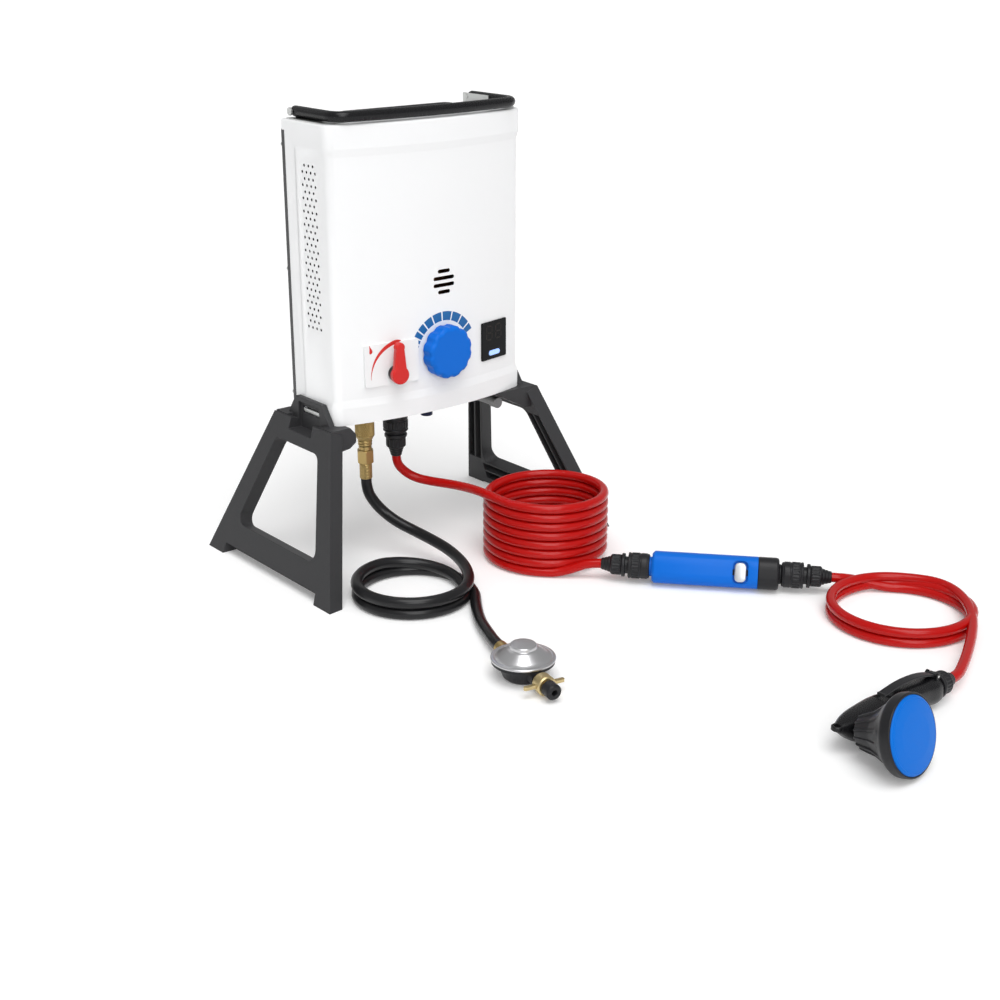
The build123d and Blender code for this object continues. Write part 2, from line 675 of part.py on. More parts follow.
def right_leg():
    """Splayed frame with two feet, a raised lower rail, a tab with a window, and two ledges."""
    plane = Plane(origin=(LEG_SPREAD, 0, 0), x_dir=(0, 1, 0), z_dir=(SPLAY_COS, 0, SPLAY_TAN * SPLAY_COS))
    below = -20.0
    outline = polygon([
        (-post_edge(below), along_leg(below)),
        (post_edge(below), along_leg(below)),
        (SHOULDER_Y, along_leg(SHOULDER_Z)),
        (-SHOULDER_Y, along_leg(SHOULDER_Z)),
    ])
    gap = polygon([
        (-GAP_LOW_Y, along_leg(GAP_LOW_Z)),
        (GAP_LOW_Y, along_leg(GAP_LOW_Z)),
        (GAP_TOP_Y, along_leg(GAP_TOP_Z)),
        (-GAP_TOP_Y, along_leg(GAP_TOP_Z)),
    ])
    gap = fillet(Sketch(gap.wrapped).vertices(), GAP_CORNER_R)
    foot_in = FOOT_Y - FOOT_L
    under = polygon([
        (-foot_in, along_leg(2 * below)),
        (foot_in, along_leg(2 * below)),
        (foot_in - 6, along_leg(RAIL_LIFT)),
        (-foot_in + 6, along_leg(RAIL_LIFT)),
    ])
    frame = extrude(plane * (Sketch(outline.wrapped) - gap - under), -LEG_T)
    frame -= [extrude(plane * Pos(0, 0, -LEG_T) * pocket, LEG_T - SKIN_T, dir=plane.z_dir) for pocket in leg_ribs()]
    lip = polygon([
        (-foot_in, along_leg(RAIL_LIFT - 7)),
        (foot_in, along_leg(RAIL_LIFT - 7)),
        (foot_in, along_leg(RAIL_LIFT)),
        (-foot_in, along_leg(RAIL_LIFT)),
    ])
    frame += extrude(plane * Pos(0, 0, -LEG_T) * lip, 4, dir=plane.z_dir)
    frame -= block((0, -300, -100), (400, 300, 0))
    frame += leg_tab()
    frame += leg_ledges()
    keep_out = block((0, -120, CASE_Z0), (HALF_W + SLIDE_GAP, 120, CASE_Z0 + 100))
    hook = block(
        (HALF_W, -HOOK_Y / 2 - 1, HOOK_Z - 1), (HALF_W + HOOK_REACH + 0.5, HOOK_Y / 2 + 1, HOOK_Z + HOOK_H + 0.5)
    )
    return frame - keep_out - hook


def leg_tab():
    """Tab that lies on the side of the case, scooped out on the outside, with a window for the hook."""
    x0 = HALF_W + SLIDE_GAP
    base_z = SHOULDER_Z - 12
    yz = Plane(origin=(x0, 0, 0), x_dir=(0, 1, 0), z_dir=(1, 0, 0))
    shape = polygon([(-TAB_BASE_Y - 8, base_z), (TAB_BASE_Y + 8, base_z), (TAB_TOP_Y, TAB_TOP_Z), (-TAB_TOP_Y, TAB_TOP_Z)])
    tab = extrude(yz * shape, TAB_T)
    top_z = TAB_TOP_Z - 6
    scoop = polygon([(-POCKET_HALF_W, POCKET_Z), (POCKET_HALF_W, POCKET_Z), (TAB_TOP_Y - 7, top_z), (-TAB_TOP_Y + 7, top_z)])
    leg_tab.scoop = extrude(yz * Pos(0, 0, POCKET_FLOOR) * scoop, 40)
    window_z = HOOK_Z + HOOK_H / 2
    leg_tab.window = Pos(x0, 0, window_z) * Box(60, *WINDOW)
    return tab


def leg_ledges():
    """A square stub at one end and a long gusset at the other, both under the case."""
    x1 = LEG_SPREAD - CASE_Z0 * SPLAY_TAN - 2
    top = CASE_Z0
    front = -SHOULDER_Y + 1
    xz = Plane(origin=(0, front, 0), x_dir=(1, 0, 0), z_dir=(0, -1, 0))
    gusset = polygon([
        (x1, top - LEDGE_DEPTH - 4),
        (x1, top),
        (HALF_W - GUSSET_REACH, top),
        (HALF_W - 4, top - LEDGE_DEPTH),
    ])
    stub = polygon([
        (x1, top - LEDGE_DEPTH - 4),
        (x1, top),
        (HALF_W - STUB_REACH + 9, top),
        (HALF_W - STUB_REACH, top - 10),
        (HALF_W - STUB_REACH, top - 21),
        (HALF_W - STUB_REACH + 10, top - LEDGE_DEPTH),
    ])
    ledges = extrude(xz * gusset, -LEDGE_L)
    return ledges + Pos(0, 2 * SHOULDER_Y - 2 - LEDGE_L, 0) * extrude(xz * stub, -LEDGE_L)


def legs():
    """The right leg, and the same leg turned half round for the left."""
    leg = right_leg()
    leg = leg - leg_tab.scoop - leg_tab.window
    return leg, Rot(0, 0, 180) * leg


# ---------------------------------------------------------------- connections under the case


def at_port(x, shape):
    return Pos(x, PORT_Y, 0) * shape


GAS_NUT_TOP = FLOOR_PLATE_Z - FLANGE_H - 1
GAS_NUT_BOTTOM = GAS_NUT_TOP - GAS_NUT_H
GAS_STUB_END = GAS_NUT_TOP - 24


def gas_inlet():
    """Brass stub from the valve block down through the bottom plate, with a hexagon flange."""
    stub = rod(GAS_STUB_R, GAS_STUB_END, 252) + hexagon(13, FLOOR_PLATE_Z - FLANGE_H, FLOOR_PLATE_Z)
    return at_port(GAS_X, stub - rod(3.5, GAS_STUB_END - 1, 253))


def gas_hose_nut():
    """Round knurled nut that narrows to a neck and turns freely on the hose tail."""
    z0 = GAS_NUT_BOTTOM
    z1 = GAS_NUT_TOP
    outline = turned([
        (0, z0), (GAS_NUT_NECK_R, z0), (GAS_NUT_NECK_R, z0 + 9), (GAS_NUT_R - 1.4, z0 + 20), (GAS_NUT_R, z0 + 22),
        (GAS_NUT_R, z1 - 1), (GAS_NUT_R - 1, z1), (0, z1),
    ])
    nut = outline - rod(GAS_STUB_R + RUNNING_GAP, GAS_STUB_END - SLIDE_GAP, z1 + 1)
    return at_port(GAS_X, nut - rod(5 + RUNNING_GAP, z0 - 1, GAS_STUB_END + 1))


def gas_hose_ferrule():
    """Hose tail: a hexagon, a crimped ferrule and a stem up inside the nut."""
    hex_top = GAS_NUT_BOTTOM - SLIDE_GAP
    hex_bottom = GAS_HOSE_TOP + 20
    tail = rod(5, hex_top - 1, GAS_STUB_END) + rod(7.2, hex_top - 5, hex_top)
    tail += hexagon(GAS_HEX_R, hex_bottom, hex_top - 5)
    tail += rod(GAS_FERRULE_R, GAS_HOSE_TOP, hex_bottom)
    return at_port(GAS_X, tail)


def hose_nut():
    """Hose nut, hose end at z = 0: a cone, a grip ring and a neck that reaches into the collar."""
    neck_top = CONNECTOR_L - 2
    body = turned([
        (0, 0), (NUT_TIP_R, 0), (NUT_TIP_R + 0.6, 4), (NUT_R - 1, 15), (NUT_R - 1, 20), (NUT_R, 21),
        (NUT_R, NUT_L - 5), (NUT_R + 1, NUT_L - 4), (NUT_R + 1, NUT_L), (NUT_NECK_R, NUT_L),
        (NUT_NECK_R, neck_top), (0, neck_top),
    ])
    return body - rod(SPIGOT_R, NUT_L - 8, neck_top + 1)


def hose_collar():
    z0 = NUT_L + COLLAR_GROOVE
    z1 = z0 + COLLAR_L
    outline = turned([
        (0, z0), (COLLAR_R - 2, z0), (COLLAR_R - 0.6, z0 + 2.5), (COLLAR_R, z0 + 8),
        (COLLAR_R, z1 - 1), (COLLAR_R - 1, z1), (0, z1),
    ])
    return outline - rod(NUT_NECK_R + SLIDE_GAP, z0 - 1, z1 + 1)


def spigot(start):
    """Spigot that reaches down into a hose nut from the connector height start."""
    return rod(SPIGOT_R, NUT_L - 8, start)


def hot_frame():
    return Plane(origin=(HOT_X, PORT_Y, HOT_NUT_Z), z_dir=(0, 0, 1))


def hot_outlet():
    top = 220 - HOT_NUT_Z
    flange_z = FLOOR_PLATE_Z - HOT_NUT_Z
    body = spigot(top) + rod(13, CONNECTOR_L + 0.6, flange_z)
    return hot_frame() * body


def cold_inlet():
    body = rod(COLD_R, COLD_END_Z, 270) + hexagon(13, FLOOR_PLATE_Z - FLANGE_H, FLOOR_PLATE_Z)
    return at_port(COLD_X, body - rod(4, COLD_END_Z - 1, 271))


def drain_plug():
    """Relief and drain valve: a stub down from the case and a knurled screw that points forward."""
    x, y, z = RELIEF_AT
    stub = Pos(x, y, 0) * rod(RELIEF_R, z - RELIEF_R, FLOOR_PLATE_Z + SHEET)
    forward = Plane(origin=(x, y, z), z_dir=(0, -1, 0))
    length = y - RELIEF_FRONT
    stub += forward * rod(RELIEF_R - 0.5, 0, length - 12)
    stub += forward * rod(RELIEF_R + 1, length - 12, length)
    return stub


# ---------------------------------------------------------------- hoses


def place(frame, station=0.0):
    """Point on the Z axis of a frame."""
    return tuple(frame.origin + frame.z_dir * station)


def valve_frame(station):
    """Frame on the axis of the hand valve: +Z along the flow, +X toward the button."""
    direction = Vector(*VALVE_DIRECTION).normalized()
    origin = Vector(*VALVE_AT) + direction * station
    level = Vector(0, 0, 1).cross(direction) * -1
    up = Vector(0, 0, 1)
    roll = math.radians(VALVE_ROLL)
    facing = level * math.cos(roll) + up * math.sin(roll)
    return Plane(origin=origin, x_dir=facing, z_dir=direction)


def valve_in_frame():
    return valve_frame(-VALVE_L / 2 - 3.5 - CONNECTOR_L)


def valve_out_frame():
    end = VALVE_L / 2 + VALVE_CAP_L + 3.5 + CONNECTOR_L
    frame = valve_frame(end)
    return Plane(origin=frame.origin, x_dir=frame.x_dir, z_dir=-frame.z_dir)


def reg_frame(station=0.0):
    """Frame on the regulator's pipe: +Z along the flow towards the cylinder, +Y up."""
    direction = Vector(*REG_DIRECTION).normalized()
    origin = Vector(*REG_AT, REG_PIPE_Z) + direction * station
    return Plane(origin=origin, x_dir=Vector(0, 0, 1).cross(direction), z_dir=direction)


def head_frame(station=0.0):
    """Frame on the axis of the shower handle: +Z away from the hose, +Y up."""
    start = Vector(*HEAD_START)
    direction = (Vector(*HEAD_END) - start).normalized()
    level = Vector(0, 0, 1).cross(direction).normalized()
    return Plane(origin=start + direction * station, x_dir=level, z_dir=direction)


GAS_LEAD = [
    (GAS_X, PORT_Y, GAS_HOSE_TOP), (GAS_X, PORT_Y, GAS_HOSE_TOP - 17), (-78, -12, 70), (-65, -19, 51),
    (-51, -36, 36), (-43, -65, 28), (-41, -97, 25), (-45, -130, 23.5), (-54, -162, 22), (-67, -193, 21),
]
GAS_TAIL = [
    (-80, -234, 7), (-101, -269, 7), (-121, -303, 7), (-137, -336, 8.5),
    place(reg_frame(), -REG_HOSE_END - 30), place(reg_frame(), -REG_HOSE_END),
]
HOT_LEAD = [
    (HOT_X, PORT_Y, HOT_NUT_Z), (HOT_X, PORT_Y, HOT_NUT_Z - 11), (-28, -14.5, 108), (-18, -22, 101), (-4, -38, 96.5),
    (9, -62, 95), (18, -92, 96), (23, -128, 98.5), (21.5, -168, 101.2),
]
HOT_TAIL = [
    (46.5, -225.3, 6.75), (62.1, -237.7, 8.5), (75.8, -248.2, 13.5), (87, -258, 19.5),
    place(valve_in_frame(), -14), place(valve_in_frame()),
]
SHOWER_LEAD = [
    place(valve_out_frame()), place(valve_out_frame(), -22), (333, -539.5, 15.5), (352.9, -552, 8),
]
SHOWER_TAIL = [
    (381.2, -599.3, 20.2), (386, -632, 17), (382, -664, 11), (364, -691, 7.5), (332, -715, 7),
    (289, -735, 7), (248, -752, 9), place(head_frame(), -38), place(head_frame()),
]


def hose_tube(name, points, diameter):
    """Tube on straight runs joined by tangent arcs, each as large as its two runs allow."""
    radii = []
    for before, corner, after in zip(points, points[1:], points[2:]):
        run_in = Vector(*corner) - Vector(*before)
        run_out = Vector(*after) - Vector(*corner)
        half_turn = math.radians(run_in.get_angle(run_out)) / 2
        radii.append(0.45 * min(run_in.length, run_out.length) / math.tan(half_turn))
    path = FilletPolyline(*points, radius=radii)
    tube = sweep(Plane(origin=path @ 0, z_dir=path % 0) * Circle(diameter / 2), path=path)
    expected = math.pi * diameter ** 2 / 4 * path.length
    print(f"{name}: {path.length:.0f} mm, radii {[round(r) for r in radii]}, volume ratio {tube.volume / expected:.3f}")
    return tube


def hose_coil(at, radius, turns, diameter):
    """Outer shape of stacked turns."""
    wall = ring(radius + diameter / 2, radius - diameter / 2, 0, turns * diameter)
    return Pos(*at, 0) * wall


# ---------------------------------------------------------------- hand valve


def valve_body():
    """Soft-cornered body with a sunk slot for the button, and a spigot on its inlet end."""
    half = VALVE_L / 2
    body = Pos(0, 0, -half) * extrude(RectangleRounded(VALVE_ACROSS, VALVE_ACROSS, VALVE_CORNER_R), VALVE_L)
    body = chamfer(body.faces().sort_by(Axis.Z)[0].edges(), 3)
    body += rod(13, -half - 3.5, -half)
    body += rod(SPIGOT_R, -half - 3.5 - CONNECTOR_L + NUT_L - 8, -half)
    slot = Pos(VALVE_ACROSS / 2 - 6, 0, VALVE_BUTTON_AT) * Rot(0, 90, 0) * RectangleRounded(*VALVE_SLOT, 7)
    body -= extrude(slot, 10)
    stem_end = VALVE_ACROSS / 2 - 14
    body -= Pos(0, 0, VALVE_BUTTON_AT) * Rot(0, 90, 0) * rod(VALVE_STEM_R + RUNNING_GAP, stem_end - 3, VALVE_ACROSS)
    return valve_frame(0) * body


def valve_end_cap():
    start = VALVE_L / 2
    cap = extrude(RectangleRounded(VALVE_ACROSS, VALVE_ACROSS, VALVE_CORNER_R), VALVE_CAP_L)
    cap = chamfer(cap.faces().sort_by(Axis.Z)[-1].edges(), 2)
    cap += rod(13, VALVE_CAP_L, VALVE_CAP_L + 3.5)
    cap += rod(SPIGOT_R, VALVE_CAP_L, VALVE_CAP_L + 3.5 + CONNECTOR_L - NUT_L + 8)
    return valve_frame(start) * cap


def valve_button():
    """Push button that stands in the slot, on a stem that presses into the body."""
    base = VALVE_ACROSS / 2 - 6 + VALVE_TRAVEL + SLIDE_GAP
    place = Pos(base, 0, VALVE_BUTTON_AT) * Rot(0, 90, 0)
    button = extrude(RectangleRounded(*VALVE_BUTTON, 6), 5)
    button = chamfer(button.faces().sort_by(Axis.Z)[-1].edges(), 1)
    button += rod(VALVE_STEM_R, VALVE_ACROSS / 2 - 14 - base, 1)
    return valve_frame(0) * (place * button)


# ---------------------------------------------------------------- regulator


def regulator_base():
    """Cast lower bowl with the pipe through it."""
    bowl = turned([(0, 0.5), (20, 0.5), (24, 4), (29, 17), (REG_RIM_R - 2, 21), (REG_RIM_R - 2, REG_RIM_Z), (0, REG_RIM_Z)])
    body = Pos(*REG_AT, 0) * bowl
    body += reg_frame() * rod(REG_PIPE_R, -36, 38)
    body += reg_frame() * rod(REG_PIPE_R - 1.2, -REG_HOSE_END, -36)
    return body


def regulator_cover():
    """Pressed round cover with a rolled rim, a shallow cone and an adjusting cap."""
    z = REG_RIM_Z
    shape = turned([
        (0, z), (REG_RIM_R, z), (REG_RIM_R, z + 2.5), (REG_RIM_R - 2.5, z + 3.4), (REG_CAP_R + 3, z + 11),
        (REG_CAP_R + 1, z + 12), (REG_CAP_R, z + 12.5), (REG_CAP_R, REG_TOP_Z - 1), (REG_CAP_R - 1, REG_TOP_Z),
        (0, REG_TOP_Z),
    ])
    return Pos(*REG_AT, 0) * shape


def regulator_outlet():
    end = REG_NUT_START + REG_NUT_L + 2
    return reg_frame() * (rod(REG_STEM_R, 38, end) - rod(3, 40, end + 1))


def wing_nut():
    """Hand nut with two flat wings that turns on the outlet."""
    z0 = REG_NUT_START
    z1 = z0 + REG_NUT_L
    hub = turned([(0, z0), (REG_NUT_R - 2, z0), (REG_NUT_R, z0 + 2), (REG_NUT_R, z1 - 1.5), (REG_NUT_R - 1.5, z1), (0, z1)])
    wing = Pos(0, 0, (z0 + z1) / 2) * Box(2 * WING_REACH, WING_T, WING_W)
    wing = fillet(wing.edges().filter_by(Axis.Y), WING_W / 2 - 0.1)
    return reg_frame() * (hub + wing - rod(REG_STEM_R + RUNNING_GAP, z0 - 1, z1 + 1))


def regulator_nose():
    start = REG_NUT_START + REG_NUT_L + 2
    end = start + NOSE_L
    shape = turned([(0, start), (NOSE_R, start), (NOSE_R, end - 2), (NOSE_R - 2, end), (0, end)])
    return reg_frame() * (shape - rod(3.5, start - 1, end + 1))


# ---------------------------------------------------------------- shower head


HEAD_L = (Vector(*HEAD_END) - Vector(*HEAD_START)).length


def head_oval(station, across, deep, shift=0.0):
    return head_frame(station) * Pos(0, shift) * RectangleRounded(across, deep, min(across, deep) * 0.4)


def shower_handle():
    """Grip that widens towards the head, with an eyelet tab at its far end."""
    sections = [(NUT_L + 1, 26, 26, 0), (75, 29, 29, 0), (125, 35, 33, -1), (165, 36, 30, -2), (HEAD_L - 16, 18, 15, -3)]
    body = loft([head_oval(*s).face() for s in sections], ruled=True)
    body -= head_frame() * rod(NUT_NECK_R, NUT_L - 1, CONNECTOR_L - 2)
    body += head_frame() * rod(SPIGOT_R, NUT_L - 8, CONNECTOR_L - 1)
    tab = head_frame(HEAD_L - 18) * Pos(0, -3, 0) * Box(14, 5, 36)
    body += tab
    eye = head_frame(HEAD_L - 6) * Pos(0, -3, 0) * Rot(90, 0, 0) * rod(3.5, -8, 8)
    pocket = head_frame() * Pos(0, 15, 97) * Box(TRIGGER_W + 2, 16, 20)
    ears = Pos(0, 16, TRIGGER_HINGE[1]) * Box(TRIGGER_W + 2 * SLIDE_GAP + 5, 8, 7)
    ears -= Pos(0, 17, TRIGGER_HINGE[1]) * Box(TRIGGER_W + 2 * SLIDE_GAP, 7, 8)
    ears += trigger_axis() * Cylinder(TRIGGER_PIN_R, TRIGGER_W + 2 * SLIDE_GAP + 5)
    return body - eye - pocket + head_frame() * ears


def cup_frame():
    normal = Vector(*FACE_NORMAL).normalized()
    return Plane(origin=FACE_AT, x_dir=Vector(0, 0, 1).cross(normal), z_dir=normal)


def shower_cup(handle):
    """Bell that carries the spray face, on a short neck from the handle."""
    bell = turned([
        (0, -66), (15, -66), (17, -46), (22, -34), (36, -CUP_DEPTH - 8), (CUP_R - 2, -CUP_DEPTH),
        (CUP_R, -CUP_DEPTH + 3), (CUP_R, 0), (FACE_R + 0.2, 0), (FACE_R + 0.2, -3), (0, -3),
    ])
    return (cup_frame() * bell) - handle


def shower_face():
    """Slightly domed spray face."""
    dome = turned([(0, -3), (FACE_R, -3), (FACE_R, 0.5), (FACE_R - 3, 2.2), (FACE_R * 0.6, 3.4), (0, 4)])
    return cup_frame() * dome


def trigger_axis():
    """Hinge of the trigger, in the frame of the head, with +Z across it."""
    return Pos(0, *TRIGGER_HINGE) * Rot(0, 90, 0)


def shower_trigger():
    """Thin curved lever over the handle, hinged beside the nut."""
    yz = Plane.YZ
    edges = [
        ThreePointArc((20, 36), (31, 66), (18, 104)),
        Line((18, 104), (14, 101)),
        ThreePointArc((14, 101), (27.5, 66), (17, 38)),
        Line((17, 38), (20, 36)),
    ]
    strip = extrude(yz * Face(Wire(edges)), TRIGGER_W / 2, both=True)
    strip += trigger_axis() * Cylinder(2.6, TRIGGER_W)
    return head_frame() * (strip - trigger_axis() * Cylinder(TRIGGER_PIN_R + RUNNING_GAP, 2 * TRIGGER_W))


# ---------------------------------------------------------------- write the parts


def add(name, shape):
    parts[name] = shape


add("front_cover", front_cover())
add("back_plate", back_plate())
add("bottom_plate", bottom_plate())
add("cover_screws", cover_screws())
add("flue_grille", flue_grille())
add("flue_hood", flue_hood())
add("heat_exchanger", heat_exchanger())
add("burner", burner())
add("gas_valve", gas_valve())
add("water_valve", water_valve())
add("water_pipes", water_pipes())
add("gas_pipe", gas_pipe())
add("igniter_box", igniter_box())
add("battery_box", battery_box())
add("lever_plate", lever_plate())
add("lever_shaft", lever_shaft())
add("gas_lever", gas_lever())
add("knob_shaft", knob_shaft())
add("control_knob", control_knob())
add("display_window", display_window())
add("display_button", display_button())
add("carry_handle", carry_handle())
add("handle_brackets", handle_brackets())
add("handle_pivots", handle_pivots())
leg_right, leg_left = legs()
add("leg_right", leg_right)
add("leg_left", leg_left)
add("gas_inlet", gas_inlet())
add("gas_hose_nut", gas_hose_nut())
add("gas_hose_ferrule", gas_hose_ferrule())
add("hot_outlet", hot_outlet())
add("cold_inlet", cold_inlet())
add("drain_plug", drain_plug())

add("hot_nut", hot_frame() * hose_nut())
add("hot_collar", hot_frame() * hose_collar())
add("valve_in_nut", valve_in_frame() * hose_nut())
add("valve_in_collar", valve_in_frame() * hose_collar())
add("valve_out_nut", valve_out_frame() * hose_nut())
add("valve_out_collar", valve_out_frame() * hose_collar())
add("valve_body", valve_body())
add("valve_end_cap", valve_end_cap())
add("valve_button", valve_button())

add("gas_hose_lead", hose_tube("gas_hose_lead", GAS_LEAD, GAS_HOSE_D))
add("gas_hose_coil", hose_coil(GAS_COIL_AT, GAS_COIL_R, GAS_COIL_TURNS, GAS_HOSE_D))
add("gas_hose_tail", hose_tube("gas_hose_tail", GAS_TAIL, GAS_HOSE_D))
add("hot_hose_lead", hose_tube("hot_hose_lead", HOT_LEAD, HOT_HOSE_D))
add("hot_hose_coil", hose_coil(HOT_COIL_AT, HOT_COIL_R, HOT_COIL_TURNS, HOT_HOSE_D))
add("hot_hose_tail", hose_tube("hot_hose_tail", HOT_TAIL, HOT_HOSE_D))
add("shower_hose_lead", hose_tube("shower_hose_lead", SHOWER_LEAD, HOT_HOSE_D))
add("shower_hose_coil", hose_coil(LOOP_AT, LOOP_R, LOOP_TURNS, HOT_HOSE_D))
add("shower_hose_tail", hose_tube("shower_hose_tail", SHOWER_TAIL, HOT_HOSE_D))

add("regulator_base", regulator_base())
add("regulator_cover", regulator_cover())
add("regulator_outlet", regulator_outlet())
add("wing_nut", wing_nut())
add("regulator_nose", regulator_nose())

handle = shower_handle()
add("shower_nut", head_frame() * hose_nut())
add("shower_handle", handle)
add("shower_cup", shower_cup(handle))
add("shower_face", shower_face())
add("shower_trigger", shower_trigger())

os.makedirs("parts", exist_ok=True)
for name, shape in parts.items():
    export_step(shape, f"parts/{name}.step")
print(len(parts), "parts")
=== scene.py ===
"""Looks of a portable gas water heater on two clip-on legs, with a gas hose and regulator and a red
hot-water hose that runs through a hand valve to a shower head.

Lengths are written in millimetres and turned into metres by MM. X is to the right of someone who
faces the controls, Y to the back and Z up, with the origin on the ground under the heater.
"""

import json
import math

import bmesh
import bpy
import numpy as np
from mathutils import Matrix, Vector

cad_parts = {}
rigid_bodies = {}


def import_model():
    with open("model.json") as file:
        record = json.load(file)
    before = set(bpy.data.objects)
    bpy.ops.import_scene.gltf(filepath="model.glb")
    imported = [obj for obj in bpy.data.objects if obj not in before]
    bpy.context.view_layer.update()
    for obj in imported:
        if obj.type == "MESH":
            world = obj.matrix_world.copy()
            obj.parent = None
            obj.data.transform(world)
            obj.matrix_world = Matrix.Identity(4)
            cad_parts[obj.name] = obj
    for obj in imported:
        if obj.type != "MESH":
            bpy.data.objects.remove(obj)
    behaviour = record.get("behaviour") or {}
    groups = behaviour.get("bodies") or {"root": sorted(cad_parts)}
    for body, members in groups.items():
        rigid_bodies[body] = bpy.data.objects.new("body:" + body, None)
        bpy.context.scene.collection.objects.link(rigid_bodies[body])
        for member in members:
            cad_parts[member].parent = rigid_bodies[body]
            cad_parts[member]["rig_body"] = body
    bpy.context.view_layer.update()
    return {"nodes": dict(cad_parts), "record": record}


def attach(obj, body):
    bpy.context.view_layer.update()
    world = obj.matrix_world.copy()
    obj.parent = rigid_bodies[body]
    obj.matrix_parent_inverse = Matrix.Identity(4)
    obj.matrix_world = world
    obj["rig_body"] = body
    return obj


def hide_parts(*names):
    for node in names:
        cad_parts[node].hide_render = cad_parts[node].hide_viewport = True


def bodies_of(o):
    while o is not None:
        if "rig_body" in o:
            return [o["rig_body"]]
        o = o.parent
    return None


MM = 0.001
TAU = 2 * math.pi

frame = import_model()
NODES = frame["nodes"]
SLOT_OF = {entry["node"]: entry["material_slot"] for entry in frame["record"]["subparts"]}

# ---------------------------------------------------------------- sizes shared with the solids
# KNOB_AT, LEVER_PLATE_AT and DISPLAY_AT are x and the height above the underside of the case.

CASE_W = 310.0
CASE_Z0 = 205.5
CASE_TOP = 587.0
CASE_FRONT = -75.0
BOW_R = 521.0
RECESS = 3.0
CORNER_R = 14.0

KNOB_AT = (5.0, 80.0)
LEVER_PLATE_AT = (-76.5, 75.5)
LEVER_PLATE_T = 3.5
DISPLAY_AT = (98.0, 77.5)
DISPLAY_T = 1.8

GAS_PORT = (-84.0, -12.0)
HOT_PORT = (-33.0, -12.0)
COLD_PORT = (20.0, -12.0)
GAS_HOSE_TOP = 109.5
HOT_HOSE_TOP = 131.3
GAS_HOSE_D = 15.0
HOT_HOSE_D = 12.6

VALVE_AT = (190.8, -386.5, 22.4)
VALVE_DIRECTION = (0.6636, -0.7481, 0.0)
VALVE_HALF = 68.5
VALVE_CAP = 27.0
COUPLING_GAP = 3.5
CONNECTOR_L = 64.0
REGULATOR_AT = (-165.0, -439.0, 14.0)
REGULATOR_DIRECTION = (-0.21, -0.978, 0.0)
HEAD_START = (178.0, -777.0, 20.0)
HEAD_END = (-30.0, -783.0, 33.0)
CUP_AT = (-5.0, -860.0, 47.5)
FACE_NORMAL = (0.1, -0.952, 0.29)

# ---------------------------------------------------------------- frames


def axes(at, direction, across):
    """A frame as a 4 by 4 array, in millimetres: its origin, its +Z, and +X nearest to across."""
    z = np.array(direction, float)
    z /= np.linalg.norm(z)
    x = np.array(across, float)
    x -= z * (x @ z)
    x /= np.linalg.norm(x)
    m = np.eye(4)
    m[:3, 0], m[:3, 1], m[:3, 2], m[:3, 3] = x, np.cross(z, x), z, at
    return m


def along(m, station):
    """The point at a distance along a frame's Z axis."""
    return m[:3, 3] + m[:3, 2] * station


def placed(points, place):
    """Points of a frame carried to the place of that frame."""
    return points @ place[:3, :3].T + place[:3, 3]


def upright(at, height=0.0):
    """A frame with +Z up over a point (x, y) of the ground."""
    return axes((*at, height), (0, 0, 1), (1, 0, 0))


def body_of(node):
    """The name of the body that a solid rides on."""
    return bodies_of(NODES[node])[0]


def front_axes(x, height):
    """Frame on the bowed front at x and a height above the underside: +Z outward, +Y up."""
    radius = BOW_R - RECESS
    y = CASE_FRONT + BOW_R - math.sqrt(radius**2 - x**2)
    outward = (x, y - CASE_FRONT - BOW_R, 0)
    return axes((x, y, CASE_Z0 + height), outward, (-outward[1], outward[0], 0))


VALVE = axes(VALVE_AT, VALVE_DIRECTION, (-0.7481, -0.6636, 0))
VALVE_IN = axes(along(VALVE, -VALVE_HALF - COUPLING_GAP - CONNECTOR_L), VALVE[:3, 2], (0, 0, 1))
VALVE_OUT = axes(
    along(VALVE, VALVE_HALF + VALVE_CAP + COUPLING_GAP + CONNECTOR_L), -VALVE[:3, 2], (0, 0, 1)
)
REGULATOR = axes(REGULATOR_AT, REGULATOR_DIRECTION, (1, 0, 0))
HEAD_DIRECTION = np.subtract(HEAD_END, HEAD_START)
HEAD = axes(HEAD_START, HEAD_DIRECTION, np.cross((0, 0, 1), HEAD_DIRECTION))
HEAD_L = float(np.linalg.norm(HEAD_DIRECTION))
CUP = axes(CUP_AT, FACE_NORMAL, np.cross((0, 0, 1), FACE_NORMAL))

# Axes of the valve's solids, which lie a few millimetres aside of where the valve is seen.
VALVE_SOLID = axes((194.6, -381.9, 22.4), (0.652, -0.758, 0.0), (-0.758, -0.652, 0))

# ---------------------------------------------------------------- camera

CAMERA_AT = (-1216.4, -1676.2, 820.9)
CAMERA_RIGHT = (0.7725, -0.6350, 0.0)
CAMERA_FORWARD = (0.5953, 0.7243, -0.3479)
CAMERA_LENS = 56.34


def add_camera():
    eye = Vector(CAMERA_AT) * MM
    right = Vector(CAMERA_RIGHT).normalized()
    forward = Vector(CAMERA_FORWARD).normalized()
    up = right.cross(forward).normalized()
    data = bpy.data.cameras.new("camera")
    data.lens = CAMERA_LENS
    data.sensor_width = 36.0
    data.clip_start, data.clip_end = 0.05, 50.0
    camera = bpy.data.objects.new("camera", data)
    bpy.context.scene.collection.objects.link(camera)
    turn = Matrix((right, up, -forward)).transposed().to_4x4()
    camera.matrix_world = Matrix.Translation(eye) @ turn
    bpy.context.scene.camera = camera


# ---------------------------------------------------------------- materials


